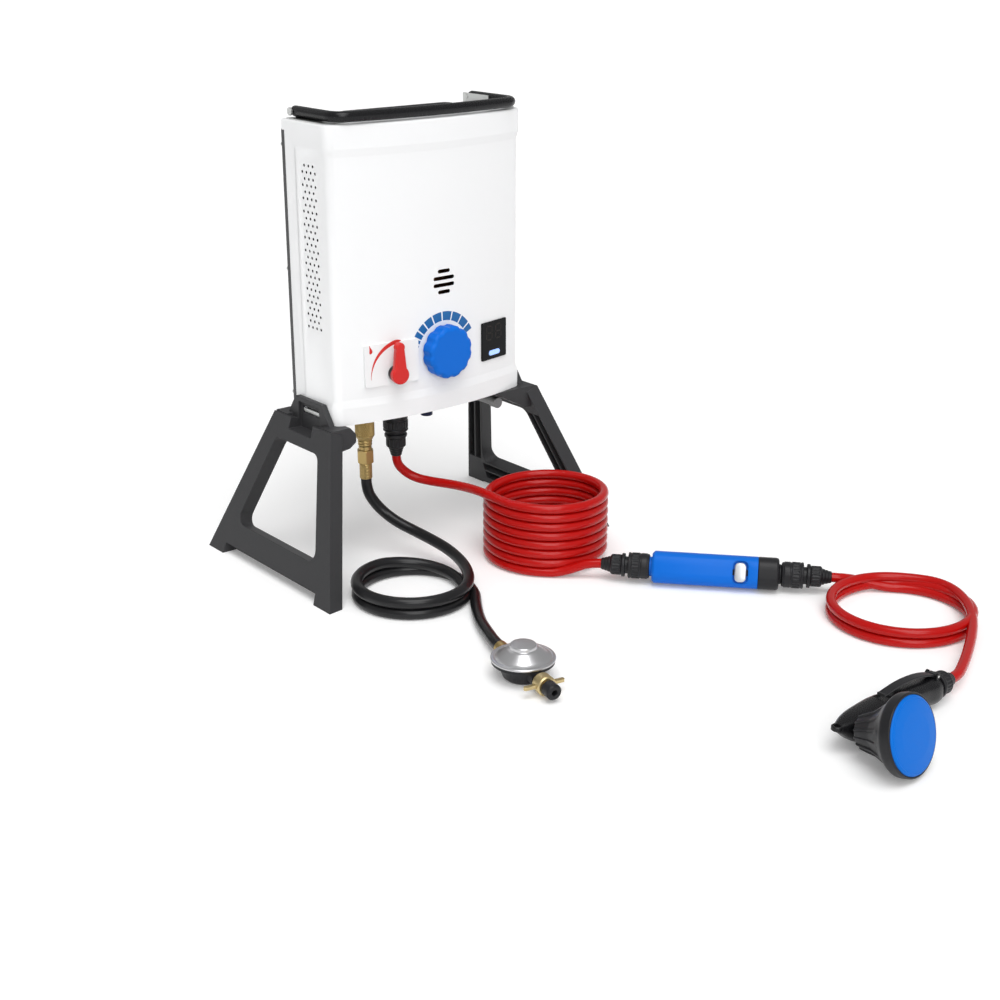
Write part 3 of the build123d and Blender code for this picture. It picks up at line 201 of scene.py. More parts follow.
def new_material(name, colour, roughness, metallic=0.0):
    """A Principled material, with its node tree and shader."""
    material = bpy.data.materials.new(name)
    material.use_nodes = True
    nodes = material.node_tree.nodes
    shader = nodes["Principled BSDF"]
    shader.inputs["Base Color"].default_value = (*colour, 1)
    shader.inputs["Roughness"].default_value = roughness
    shader.inputs["Metallic"].default_value = metallic
    return material, material.node_tree, shader


def grain(tree, shader, scale, depth, distance, spread=None):
    """Fine noise on Object coordinates: it raises the surface and, with spread, varies the roughness."""
    place = tree.nodes.new("ShaderNodeTexCoord")
    noise = tree.nodes.new("ShaderNodeTexNoise")
    noise.inputs["Scale"].default_value = scale
    noise.inputs["Detail"].default_value = 3.0
    tree.links.new(place.outputs["Object"], noise.inputs["Vector"])
    bump = tree.nodes.new("ShaderNodeBump")
    bump.inputs["Strength"].default_value = depth
    bump.inputs["Distance"].default_value = distance * MM
    tree.links.new(noise.outputs["Fac"], bump.inputs["Height"])
    tree.links.new(bump.outputs["Normal"], shader.inputs["Normal"])
    if spread:
        level = tree.nodes.new("ShaderNodeMapRange")
        level.inputs["To Min"].default_value, level.inputs["To Max"].default_value = spread
        tree.links.new(noise.outputs["Fac"], level.inputs["Value"])
        tree.links.new(level.outputs["Result"], shader.inputs["Roughness"])


def plastic(name, colour, roughness, shine=0.28):
    """Moulded plastic with a fine grain."""
    material, tree, shader = new_material(name, colour, roughness)
    shader.inputs["Specular IOR Level"].default_value = shine
    grain(tree, shader, 900.0, 0.12, 0.25, (roughness - 0.05, roughness + 0.07))
    return material


def painted(name, colour, roughness, coat=0.35, shine=0.4):
    """Sprayed enamel under a thin clear coat."""
    material, tree, shader = new_material(name, colour, roughness)
    shader.inputs["Specular IOR Level"].default_value = shine
    shader.inputs["Coat Weight"].default_value = coat
    shader.inputs["Coat Roughness"].default_value = 0.12
    grain(tree, shader, 260.0, 0.05, 0.2, (roughness - 0.03, roughness + 0.04))
    return material


def painted_glow(name, colour, glow, strength):
    """Plastic with a painted glow: its emission makes it shine as though a lamp stood behind it."""
    material, tree, shader = new_material(name, colour, 0.3)
    shader.inputs["Emission Color"].default_value = (*glow, 1)
    shader.inputs["Emission Strength"].default_value = strength
    grain(tree, shader, 300.0, 0.03, 0.2)
    return material


def metal(name, colour, roughness, scale=120.0, depth=0.08):
    """Bare or plated metal, slightly uneven."""
    material, tree, shader = new_material(name, colour, roughness, 1.0)
    grain(tree, shader, scale, depth, 0.3, (roughness - 0.07, roughness + 0.1))
    return material


def hose_skin(name, colour, roughness, coat):
    """Extruded hose: a smooth skin with a soft clear gloss."""
    material, tree, shader = new_material(name, colour, roughness)
    shader.inputs["Specular IOR Level"].default_value = 0.22
    shader.inputs["Coat Weight"].default_value = coat
    shader.inputs["Coat Roughness"].default_value = 0.1
    grain(tree, shader, 500.0, 0.06, 0.2, (roughness - 0.04, roughness + 0.06))
    return material


MATERIALS = {
    "white_enamel": painted("white_enamel", (0.88, 0.885, 0.89), 0.3),
    "black_sheet": painted("black_sheet", (0.018, 0.018, 0.02), 0.42),
    "galvanised_steel": metal("galvanised_steel", (0.62, 0.63, 0.62), 0.38, 60.0),
    "black_plastic": plastic("black_plastic", (0.036, 0.036, 0.038), 0.5),
    "copper": metal("copper", (0.72, 0.32, 0.18), 0.32),
    "grey_casting": metal("grey_casting", (0.45, 0.45, 0.44), 0.5, 300.0, 0.3),
    "brass": metal("brass", (0.47, 0.34, 0.14), 0.34),
    # A lighter copy of brass, with painted light, for the wing nut.
    "brass_painted_light": metal("brass_painted_light", (0.6, 0.48, 0.25), 0.36),
    "white_plastic": plastic("white_plastic", (0.86, 0.865, 0.87), 0.38),
    "dark_shaft": metal("dark_shaft", (0.045, 0.045, 0.047), 0.45),
    "red_plastic": plastic("red_plastic", (0.62, 0.02, 0.018), 0.32),
    "blue_plastic": plastic("blue_plastic", (0.003, 0.14, 0.62), 0.38, shine=0.14),
    "display_black": painted("display_black", (0.002, 0.002, 0.003), 0.12, 0.0, 0.12),
    "satin_silver": metal("satin_silver", (0.62, 0.63, 0.65), 0.36),
    "handle_black": plastic("handle_black", (0.007, 0.007, 0.008), 0.26),
    "plated_steel": metal("plated_steel", (0.66, 0.66, 0.64), 0.3),
    "connector_black": plastic("connector_black", (0.013, 0.013, 0.015), 0.38),
    "black_rubber": hose_skin("black_rubber", (0.009, 0.009, 0.01), 0.36, 0.22),
    "red_rubber": hose_skin("red_rubber", (0.45, 0.004, 0.003), 0.22, 0.06),
    "regulator_grey": metal("regulator_grey", (0.62, 0.62, 0.63), 0.3),
    # Near-black plastic that stands for the shade inside the cover and in its vents: painted shade.
    "painted_shade_inside": plastic("painted_shade_inside", (0.006, 0.006, 0.007), 0.7),
    "print_blue": plastic("print_blue", (0.012, 0.13, 0.36), 0.4),
    "print_red": plastic("print_red", (0.62, 0.03, 0.025), 0.4),
    "unlit_segment": plastic("unlit_segment", (0.02, 0.017, 0.015), 0.3, shine=0.1),
    # The display button's painted glow: a pale blue emission.
    "painted_glow_button": painted_glow("painted_glow_button", (0.3, 0.42, 0.8), (0.3, 0.5, 1.0), 0.75),
    "spray_blue": plastic("spray_blue", (0.003, 0.145, 0.6), 0.34, shine=0.1),
    # A darker copy of plated steel, for the drain plug.
    "darker_steel": metal("darker_steel", (0.22, 0.22, 0.22), 0.42),
    "navy_sleeve": plastic("navy_sleeve", (0.006, 0.012, 0.05), 0.4),
}

# ---------------------------------------------------------------- making and dressing pieces


def show(piece, material, body):
    """Gives a piece its material, puts it in the scene and lets it ride on a body."""
    piece.data.materials.clear()
    piece.data.materials.append(material)
    bpy.context.scene.collection.objects.link(piece)
    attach(piece, body)
    return piece


def settled(mesh, solid, seen):
    """Carries a copied mesh from the place of its solid to the place where the piece is seen."""
    points = np.empty(len(mesh.vertices) * 3)
    mesh.vertices.foreach_get("co", points)
    points = points.reshape(-1, 3) / MM
    turn = seen @ np.linalg.inv(solid)
    points = (points @ turn[:3, :3].T + turn[:3, 3]) * MM
    mesh.vertices.foreach_set("co", points.ravel())
    mesh.update()


def slimmed(mesh, depth):
    """Moves every point inward along its normal by a depth."""
    count = len(mesh.vertices)
    points, normals = np.empty(count * 3), np.empty(count * 3)
    mesh.vertices.foreach_get("co", points)
    mesh.vertex_normals.foreach_get("vector", normals)
    mesh.vertices.foreach_set("co", points - normals * depth * MM)
    mesh.update()


def clipped_below(mesh, place, floor):
    """Lifts the points of a mesh that lie lower than the floor, along a frame's Z axis, up to it."""
    points = np.empty(len(mesh.vertices) * 3)
    mesh.vertices.foreach_get("co", points)
    points = points.reshape(-1, 3)
    height = (points / MM - place[:3, 3]) @ place[:3, 2]
    points += np.maximum(floor - height, 0)[:, None] * place[:3, 2] * MM
    mesh.vertices.foreach_set("co", points.ravel())
    mesh.update()


def shade(mesh, angle=32.0):
    """Smooth shading that breaks at edges sharper than the angle."""
    mesh.shade_smooth()
    mesh.set_sharp_from_angle(angle=math.radians(angle))


def dressed(node, slot, bevel=0.0, segments=2, move=None, finish=None, slim=0.0, flat=0.6):
    """A copy of a CAD node, its triangles merged into faces that are flat to within an angle, with rounded
    edges. Move is the frame of the solid and the frame to carry it to."""
    mesh = NODES[node].data.copy()
    mesh.name = node + "_piece"
    work = bmesh.new()
    work.from_mesh(mesh)
    bmesh.ops.remove_doubles(work, verts=work.verts, dist=0.004 * MM)
    bmesh.ops.dissolve_limit(work, angle_limit=math.radians(flat), verts=work.verts, edges=work.edges)
    work.to_mesh(mesh)
    work.free()
    mesh.update()
    if move:
        settled(mesh, *move)
    if slim:
        slimmed(mesh, slim)
    piece = bpy.data.objects.new(node + "_piece", mesh)
    shade(mesh)
    show(piece, MATERIALS[finish or slot], body_of(node))
    if bevel:
        soften(piece, bevel, segments)
    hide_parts(node)
    return piece


def soften(piece, width, segments=2):
    """Rounds the edges of a piece that are sharper than 35 degrees."""
    rounding = piece.modifiers.new("rounding", "BEVEL")
    rounding.width = width * MM
    rounding.segments = segments
    rounding.limit_method = "ANGLE"
    rounding.angle_limit = math.radians(35)
    rounding.use_clamp_overlap = True


# ---------------------------------------------------------------- hoses

TURN_STEP = 22.5


def winding(start, turn, centre, radius, height):
    """Points of a winding, 16 to a turn. At angle a the point is centre + radius (cos a, sin a), and
    height up. Radius and height each go from their first to their last value along it. The radius is
    larger than the hose's by 1 / cos(half a step), because its line cuts inside the points."""
    count = int(round(abs(turn) / TURN_STEP))
    f = np.linspace(0.0, 1.0, count + 1)[:, None]
    a = np.radians(start + turn * f)
    r = (radius[0] + (radius[1] - radius[0]) * f) / math.cos(math.radians(TURN_STEP / 2))
    z = height[0] + (height[1] - height[0]) * f
    return np.hstack([centre[0] + r * np.cos(a), centre[1] + r * np.sin(a), z])


GAS_COIL = (-126.5, -172.5)
GAS_ROUTE = np.vstack([
    [
        (*GAS_PORT, GAS_HOSE_TOP), (*GAS_PORT, 92.5), (-75.3, -17.5, 73.2), (-65, -26.8, 58),
        (-56, -45.7, 47), (-43.4, -67.1, 38), (-37.8, -96, 33.4), (-34.3, -125.2, 28.9), (-38, -158, 25),
        (-50, -190, 22.7),
    ],
    winding(-38, -232, GAS_COIL, (72, 72), (22.5, 22.5)),
    winding(-292, -90, GAS_COIL, (70, 66), (20, 8.5)),
    winding(-405, -315, GAS_COIL, (70, 72.5), (7.5, 7.5)),
    [
        (-64, -224, 7.5), (-91, -259, 7.5), (-118, -301, 8.5), (-136.5, -340, 12),
        along(REGULATOR, -70), along(REGULATOR, -52),
    ],
])

HOT_COIL = (100.5, -171.7)
HOT_ROUTE = np.vstack([
    [
        (*HOT_PORT, HOT_HOSE_TOP), (*HOT_PORT, 119.8), (-22, -16.6, 105.2), (-10.5, -27, 96.5),
        (3, -44.5, 93.4), (15, -66, 93.1), (20.8, -94, 95.2), (19, -133.2, 99.4),
    ],
    winding(172, 2578, HOT_COIL, (79.2, 79.2), (97.6, 6.4)),
    [(60.8, -245, 7.6), (74.5, -258.2, 13.5), along(VALVE_IN, -16), along(VALVE_IN, 0)],
])

LOOP = (306.0, -613.5)
SHOWER_ROUTE = np.vstack([
    [along(VALVE_OUT, 0), along(VALVE_OUT, -12), (330, -524, 16)],
    winding(52, -90, LOOP, (80, 85), (6.5, 6.5)),
    winding(-60.5, -202.5, LOOP, (86.5, 86.5), (6.5, 6.5)),
    winding(-285.5, -135, LOOP, (86.5, 86.5), (8.5, 19.1)),
    winding(-443, -247.5, LOOP, (86.5, 86.5), (19.1, 19.1)),
    [
        (397.8, -598, 19.4), (395.5, -625, 19.6), (381, -652, 19.8), (357, -680.5, 19.6), (324, -706, 19.2),
        (287, -729, 18.8), (249, -750, 18.8), (216, -766.5, 19), along(HEAD, -14), along(HEAD, 0),
    ],
])


def hose_solids(name):
    """The three solids that a hose stands for."""
    return [f"{name}_{part}" for part in ("lead", "coil", "tail")]


def add_hose(name, route, diameter, slot):
    """One open NURBS line through the route's points, thickened to the hose's diameter."""
    curve = bpy.data.curves.new(name, "CURVE")
    curve.dimensions = "3D"
    spline = curve.splines.new("NURBS")
    spline.points.add(len(route) - 1)
    spline.points.foreach_set("co", np.hstack([route * MM, np.ones((len(route), 1))]).ravel())
    spline.order_u = 3
    spline.use_endpoint_u = True
    curve.resolution_u = 5
    curve.render_resolution_u = 5
    curve.bevel_depth = diameter / 2 * MM
    curve.bevel_resolution = 6
    curve.use_fill_caps = True
    hose = bpy.data.objects.new(name, curve)
    show(hose, MATERIALS[slot], "case")
    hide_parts(*hose_solids(name))


# ---------------------------------------------------------------- surfaces


def rays(degrees):
    """Unit vectors in a plane at angles in degrees."""
    a = np.radians(degrees)
    return np.stack([np.cos(a), np.sin(a)], axis=-1)


def circle(count):
    """Unit vectors at equal angles round a circle."""
    a = np.arange(count) * TAU / count
    return np.stack([np.cos(a), np.sin(a)], axis=-1)


def squared(unit, n):
    """Unit vectors pushed out to the superellipse |x|^n + |y|^n = 1."""
    return np.sign(unit) * np.abs(unit) ** (2 / n)


def bar_faces(rows):
    """Faces of a bar given by rows of four points, with both ends closed."""
    last = 4 * rows - 4
    return quads(rows, 4, wrap_columns=True).tolist() + [[3, 2, 1, 0], [last, last + 1, last + 2, last + 3]]


def quads(rows, columns, wrap_rows=False, wrap_columns=False):
    """Four-cornered faces between the points of a grid, numbered row by row."""
    i = np.arange(rows if wrap_rows else rows - 1)[:, None]
    j = np.arange(columns if wrap_columns else columns - 1)[None, :]
    i2, j2 = (i + 1) % rows, (j + 1) % columns
    corners = [a * columns + b for a, b in ((i, j), (i2, j), (i2, j2), (i, j2))]
    return np.stack([np.broadcast_to(c, (i.size, j.size)).ravel() for c in corners], axis=1)


def closed_piece(name, points, faces, slot, body, nodes=(), angle=32.0, bevel=0.0):
    """A closed shell from points in millimetres: doubles are merged and its faces turned outward."""
    mesh = bpy.data.meshes.new(name)
    corners = [list(map(int, face)) for face in faces]
    mesh.from_pydata((np.asarray(points).reshape(-1, 3) * MM).tolist(), [], corners)
    work = bmesh.new()
    work.from_mesh(mesh)
    bmesh.ops.remove_doubles(work, verts=work.verts, dist=0.01 * MM)
    bmesh.ops.recalc_face_normals(work, faces=work.faces)
    work.to_mesh(mesh)
    work.free()
    shade(mesh, angle)
    piece = bpy.data.objects.new(name, mesh)
    show(piece, MATERIALS[slot], body)
    if nodes:
        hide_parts(*nodes)
    if bevel:
        soften(piece, bevel)


def eased(profile, size, steps=4):
    """An outline of (radius, height) points with each inner corner replaced by a short curve. Point t of
    a corner is (1 - t)^2 a + 2 t (1 - t) corner + t^2 b, where a and b lie on the two lines beside it."""
    profile = np.array(profile, float)
    before, corner, after = profile[:-2], profile[1:-1], profile[2:]
    back, ahead = before - corner, after - corner
    back_l, ahead_l = (np.linalg.norm(v, axis=1, keepdims=True) for v in (back, ahead))
    cut = np.minimum(size, 0.45 * np.minimum(back_l, ahead_l))
    a, b = corner + back / back_l * cut, corner + ahead / ahead_l * cut
    t = np.linspace(0, 1, steps)[None, :, None]
    curve = (1 - t) ** 2 * a[:, None] + 2 * t * (1 - t) * corner[:, None] + t**2 * b[:, None]
    return np.vstack([profile[:1], curve.reshape(-1, 2), profile[-1:]])


def turned_grid(profile, place, count=64, ripple=None):
    """Points at radius r and height z of the profile, turned about the frame's Z axis. A ripple gives the
    radius at each angle, height and plain radius."""
    profile = np.array(profile, float)
    angle = np.arange(count) * TAU / count
    r, z = profile[:, 0][:, None] + 0 * angle, profile[:, 1][:, None] + 0 * angle
    if ripple:
        r = ripple(angle[None, :], z, r)
    return placed(np.stack([r * np.cos(angle), r * np.sin(angle), z], axis=-1), place)


def turned_piece(name, profile, place, slot, body, nodes=(), count=64, ripple=None, angle=32.0):
    """A solid of revolution, from the lower to the upper end of its profile."""
    grid = turned_grid(profile, place, count, ripple)
    closed_piece(name, grid, quads(*grid.shape[:2], wrap_columns=True), slot, body, nodes, angle)


def hexagonal(low, high, across):
    """Ripple that makes heights from low to high a hexagon: across / cos of the angle from its flat."""

    def radius(angle, z, r):
        flat = across / np.cos((angle % (TAU / 6)) - TAU / 12)
        return np.where((z >= low) & (z <= high), np.minimum(flat, r), r)

    return radius


def knurled(low, high, count, depth, slant=0.0):
    """Ripple of crossed ridges between two heights: depth times the larger of two slanted waves."""

    def radius(angle, z, r):
        wave = np.maximum(np.cos(count * angle + slant * z), np.cos(count * angle - slant * z))
        inside = np.clip((z - low) / 0.5, 0, 1) * np.clip((high - z) / 0.5, 0, 1)
        return r - depth * (0.5 - 0.5 * wave) * inside * (r > 4)

    return radius


def filled(profile, step):
    """The outline with more points, so that no part of it is longer than the step."""
    profile = np.array(profile, float)
    length = np.r_[0, np.cumsum(np.linalg.norm(np.diff(profile, axis=0), axis=1))]
    stations = np.unique(np.r_[length, np.arange(0, length[-1], step)])
    return np.stack([np.interp(stations, length, profile[:, k]) for k in (0, 1)], axis=1)


# ---------------------------------------------------------------- case


def case_depth(points):
    """How deep each point lies under the outer faces of the cover: under its sides and bow, and its top."""
    x, y, z = points.T / MM
    side = CASE_W / 2 - np.abs(x)
    bow = BOW_R - np.hypot(x, y - CASE_FRONT - BOW_R)
    corner_x = CASE_W / 2 - CORNER_R
    corner_y = CASE_FRONT + BOW_R - math.sqrt((BOW_R - CORNER_R) ** 2 - corner_x**2)
    round_corner = CORNER_R - np.hypot(np.abs(x) - corner_x, y - corner_y)
    wall = np.where((np.abs(x) > corner_x) & (y < corner_y), round_corner, np.minimum(side, bow))
    return wall, CASE_TOP - z


def loop_data(mesh):
    """For each corner of each face: its place in millimetres, and the normal of its face."""
    vertex, totals = np.empty(len(mesh.loops), int), np.empty(len(mesh.polygons), int)
    points, facing = np.empty(len(mesh.vertices) * 3), np.empty(len(mesh.polygons) * 3)
    mesh.loops.foreach_get("vertex_index", vertex)
    mesh.polygons.foreach_get("loop_total", totals)
    mesh.vertices.foreach_get("co", points)
    mesh.polygons.foreach_get("normal", facing)
    owner = np.repeat(np.arange(len(totals)), totals)
    return points.reshape(-1, 3)[vertex] / MM, facing.reshape(-1, 3)[owner]


def round_the_bow(mesh):
    """Gives the corners of faces that lie on the bow the normal of a true cylinder: level, and pointing
    away from the bow's axis. Its radius is BOW_R, or BOW_R - RECESS on the panel."""
    at, facing = loop_data(mesh)
    radial = np.column_stack([at[:, 0], at[:, 1] - CASE_FRONT - BOW_R, 0 * at[:, 0]])
    reach = np.linalg.norm(radial, axis=1, keepdims=True)
    radial /= reach
    on_bow = np.minimum(np.abs(reach - BOW_R), np.abs(reach - BOW_R + RECESS)) < 0.15
    level = (facing * radial).sum(axis=1, keepdims=True) > 0.998
    mesh.normals_split_custom_set(np.where(on_bow & level, radial, 0.0).tolist())


# Faces deeper than these under the cover's outer faces get the painted shade.
PANEL_SKIN = RECESS + 0.06
TOP_SKIN = 2.4


def add_cover():
    """The cover, white outside, with painted shade on its inner faces and in the edges of its vents: these
    faces get a near-black material.
    """
    cover = dressed("front_cover", "white_enamel", flat=0.03)
    mesh = cover.data
    round_the_bow(mesh)
    mesh.materials.append(MATERIALS["painted_shade_inside"])
    centres = np.empty(len(mesh.polygons) * 3)
    mesh.polygons.foreach_get("center", centres)
    wall, top = case_depth(centres.reshape(-1, 3))
    # Faces inside the cover and in the edges of the vents get the painted shade.
    inside = (wall > PANEL_SKIN) & (top > TOP_SKIN)
    mesh.polygons.foreach_set("material_index", inside.astype(int))


def on_front(points, lift):
    """Points (x, height above the ground) laid on the recessed panel, and lifted off it."""
    x, z = points[..., 0], points[..., 1]
    y = CASE_FRONT + BOW_R - np.sqrt((BOW_R - RECESS + lift) ** 2 - x**2)
    return np.stack([x, y, z], axis=-1)


PRINT_LIFT = 0.12
PRINT_DEPTH = 0.1


def print_on(name, inner, outer, lay, finish):
    """A printed strip between two edges, as a slab 0.1 mm thick whose back is sunk in what it lies on."""
    edges = np.stack([inner, outer])
    front, rear = lay(edges, PRINT_LIFT), lay(edges, -PRINT_DEPTH)
    ring = np.stack([front[0], front[1], rear[1], rear[0]], axis=1)
    closed_piece(name, ring, bar_faces(len(ring)), finish, "case")


SCALE_AT = (6.0, 283.2)
SCALE_RADII = (42.3, 54.3)
SCALE_START = 174.0
SCALE_SWEEP = 148.0
SCALE_WIDTHS = (2.2, 2.6, 4.0, 6.0, 8.2, 10.8, 13.6, 15.6, 16.4, 16.4, 15.6, 10.0)


def add_scale():
    """Twelve printed blocks round the dial, from a thin tick at its low end to wide ones. Each runs from
    the inner to the outer radius between two angles, and the gaps between them are alike."""
    width = np.array(SCALE_WIDTHS)
    gap = (SCALE_SWEEP - width.sum()) / (len(width) - 1)
    start = SCALE_START - np.r_[0, np.cumsum(width + gap)[:-1]]
    for k, (first, wide) in enumerate(zip(start, width)):
        ray = rays(np.linspace(first, first - wide, 7))
        inner, outer = (np.array(SCALE_AT) + ray * r for r in SCALE_RADII)
        print_on(f"scale_block_{k + 1}", inner, outer, on_front, "print_blue")


def on_plate(points, place, depth):
    """Points (right, up) from the middle of a flat face, laid at a depth along its frame's Z axis."""
    return placed(np.concatenate([points, np.full(points.shape[:-1] + (1,), depth)], axis=-1), place)


LEVER_PLATE_AXES = front_axes(*LEVER_PLATE_AT)
SWEEP_CENTRE = (15.5, -17.0)
SWEEP_R = 46.0
FLAME_FOOT = (-31.0, 16.0)
FLAME_H = 12.0


def on_lever_plate(points, lift):
    return on_plate(points, LEVER_PLATE_AXES, LEVER_PLATE_T + lift)


def add_lever_print():
    """A sweep that widens towards the lever's tip, a quarter circle, and a small flame.

    The sweep's width grows as a sine to the power 1.3 until f is 0.86, and then falls to a point as one
    less a square. The flame's half width is a sine to the power 1.3 of pi times the root of f."""
    f = np.linspace(0, 1, 25)
    growth = np.sin(np.minimum(f / 0.86, 1.0) * math.pi / 2) ** 1.3
    tip = 1 - np.clip((f - 0.86) / 0.14, 0, 1) ** 2
    half = ((0.3 + 5.0 * growth * tip) / 2)[:, None]
    ray = rays(np.linspace(182, 92, 25))
    inner, outer = (np.array(SWEEP_CENTRE) + ray * r for r in (SWEEP_R - half, SWEEP_R + half))
    print_on("heat_sweep", inner, outer, on_lever_plate, "print_red")
    f = np.linspace(0, 1, 15)
    width = 2.1 * np.sin(math.pi * f**0.5) ** 1.3 + 0.08
    lean = 0.9 * np.sin(math.pi * 1.6 * f)
    spine = np.stack([FLAME_FOOT[0] + lean, FLAME_FOOT[1] + FLAME_H * f], axis=-1)
    across = np.stack([width, 0 * width], axis=-1)
    print_on("flame_mark", spine - across, spine + across, on_lever_plate, "print_red")


DISPLAY_AXES = front_axes(*DISPLAY_AT)
DIGITS_X = (-10.5, 8.5)
DIGITS_Y = 11.0
BAR_L = 4.6
BAR_W = 1.0
BAR_PITCH = 9.5
BAR_SIDE = 5.6


def on_display(points, lift):
    return on_plate(points, DISPLAY_AXES, DISPLAY_T + lift * 0.4)


def add_display_segments():
    """Two unlit digits of seven bars each behind the dark window. Bars 1 to 3 lie level, from the lowest
    up, and the other four stand beside them. A bar is a slim hexagon, and an upright one a little
    shorter."""
    ends = np.array([-BAR_L, -BAR_L + BAR_W, BAR_L - BAR_W, BAR_L])
    half = np.array([0.05, BAR_W, BAR_W, 0.05])
    level = [(0.0, (bar - 1) * BAR_PITCH) for bar in range(3)]
    upright_bars = [(x, y) for y in (BAR_PITCH / 2, -BAR_PITCH / 2) for x in (-BAR_SIDE, BAR_SIDE)]
    for digit, x in enumerate(DIGITS_X):
        for bar, place in enumerate(level + upright_bars):
            lower, upper = np.stack([ends, -half], axis=-1), np.stack([ends, half], axis=-1)
            if bar > 2:
                lower, upper = lower[:, ::-1] * (1, 0.86), upper[:, ::-1] * (1, 0.86)
            at = np.array([x, DIGITS_Y]) + place
            name = f"digit_{digit + 1}_bar_{bar + 1}"
            print_on(name, at + lower, at + upper, on_display, "unlit_segment")


def add_knob():
    """Blue dial: twelve shallow hollows round a drum with an eased front edge. Its radius at an angle is
    that of the drum less 1.25 times a rounded dip, the upper part of a cosine wave."""
    profile = [(0, 0.8), (34.6, 0.8), (35.3, 1.6), (35.3, 16.6), (31.5, 19.8), (0, 19.8)]

    def lobes(angle, z, r):
        dip = np.clip(np.cos(12 * angle), -0.3, 1) + 0.3
        return r - 1.25 * dip * np.clip((r - 24) / 8, 0, 1)

    turned_piece(
        "dial", filled(eased(profile, 2.2, 6), 1.2), front_axes(*KNOB_AT), "blue_plastic",
        body_of("control_knob"), ("control_knob",), 192, lobes, 40,
    )


LEVER_SHAFT_AT = (4.0, -13.0)


def add_lever_boss():
    """Wide dark boss of the lever's shaft, between its plate and the lever."""
    place = LEVER_PLATE_AXES.copy()
    place[:3, 3] += place[:3, :2] @ LEVER_SHAFT_AT
    outline = eased([(0, 3.9), (10.5, 3.9), (10.5, 13.2), (0, 13.2)], 0.6)
    turned_piece("lever_boss", outline, place, "dark_shaft", body_of("lever_shaft"), (), 48)


RIM_PROUD = 0.4
RIM_Y = (41.5, 48.2)
RIM_Z = (CASE_Z0 + 0.5, 573.5)


def add_rear_rim():
    """Black rim of the pan that closes the back, round the rear edges of the cover: a box."""
    half = CASE_W / 2 + RIM_PROUD
    points = np.array([(x, y, z) for x in (-half, half) for y in RIM_Y for z in RIM_Z])
    faces = [[0, 1, 3, 2], [4, 6, 7, 5], [0, 4, 5, 1], [2, 3, 7, 6], [0, 2, 6, 4], [1, 5, 7, 3]]
    closed_piece("rear_rim", points, faces, "black_sheet", "case", bevel=0.3)


# ---------------------------------------------------------------- fittings


def add_gas_fittings():
    """Knurled brass nut, the hose's tail with a hexagon and a ferrule pressed by rows of dimples, and the
    banded sleeve that ends the hose at the regulator."""
    nut = [
        (0, 156.6), (9.0, 156.6), (9.6, 157.3), (9.6, 159.2), (9.0, 159.8), (9.0, 160.6), (9.9, 161.2),
        (9.9, 163.2), (9.3, 163.8), (9.3, 164.6), (10.4, 165.4), (11.8, 168.4), (13.2, 170.2),
        (13.2, 198.6), (12.4, 199.9), (0, 199.9),
    ]
    turned_piece(
        "gas_nut", filled(eased(nut, 0.4, 3), 0.5), upright(GAS_PORT), "brass", body_of("gas_hose_nut"),
        ("gas_hose_nut",), 240, knurled(171, 197.6, 30, 0.95, 1.3), 50,
    )
    tail = [
        (0, GAS_HOSE_TOP), (8.2, GAS_HOSE_TOP), (8.6, 110.2), (8.6, 129.6), (7.9, 130.6), (7.9, 131.4),
        (11.0, 132.2), (11.9, 133.5), (11.9, 148.8), (11.0, 150.4), (8.8, 150.7), (8.8, 155.6), (0, 155.6),
    ]
    flats = hexagonal(131.5, 150.6, 10.4)

    def pressed(angle, z, r):
        rows = np.cos((z - 112) * TAU / 4.6)
        dimple = np.clip(np.cos(8 * angle) * rows, 0, 1) * (z > 111.5) * (z < 128.5)
        return flats(angle, z, r) - 0.55 * dimple * (r > 5)

    turned_piece(
        "gas_hose_end", filled(eased(tail, 0.35, 3), 0.7), upright(GAS_PORT), "brass", "case",
        ("gas_hose_ferrule",), 144, pressed, 40,
    )
    sleeve = [(0, -58), (8.3, -58), (8.7, -57.5), (8.7, -36.5), (8.3, -36), (0, -36)]

    def banded(angle, z, r):
        return r - 0.5 * np.clip(np.cos((z + 52) * TAU / 5.3), 0, 1) * (r > 5) * (z > -50) * (z < -38)

    turned_piece(
        "regulator_hose_end", filled(eased(sleeve, 0.3, 3), 0.6), REGULATOR, "brass", "case", (), 64,
        banded, 40,
    )


def add_connector(prefix, place, has_collar):
    """Tapered hose nut with a stepped cone, a ribbed grip and a smooth rim, and with a collar, its ring of
    ridges over a groove."""
    nut = [
        (0, 0), (7.0, 0), (7.5, 0.8), (8.2, 3.2), (7.7, 3.8), (8.5, 4.6), (9.3, 7.2), (8.8, 7.8),
        (9.7, 8.6), (10.6, 11.0), (10.2, 11.7), (12.9, 13.4), (13.6, 14.4), (13.6, 26.2), (12.8, 26.9),
        (15.0, 27.4), (15.6, 28.1), (15.6, 30.8), (14.9, 31.9), (11.4, 32), (11.4, 40), (0, 40),
    ]
    turned_piece(
        prefix + "_nut_piece", filled(eased(nut, 0.5, 3), 0.9), place, "connector_black", "case",
        (prefix + "_nut",), 160, knurled(15.2, 25.6, 20, 0.9), 40,
    )
    if not has_collar:
        return
    collar = [
        (0, 36), (16.4, 36), (17.2, 36.8), (17.2, 38.4), (16.5, 39.2), (16.5, 40.2), (17.2, 41),
        (17.3, 50.6), (16.4, 51.4), (16.4, 52.8), (17, 53.6), (16.9, 60.4), (16.2, 61.4), (15.8, 63.2),
        (14.8, CONNECTOR_L), (0, CONNECTOR_L),
    ]
    turned_piece(
        prefix + "_collar_piece", filled(eased(collar, 0.5, 3), 0.9), place, "connector_black",
        body_of(prefix + "_collar"), (prefix + "_collar",), 192, knurled(41.2, 50.2, 24, 0.8), 40,
    )


SLOT_STATION = 46.0
SLOT_HALF = (9.6, 14.8)
SLOT_FLOOR = (15.02, 15.6)


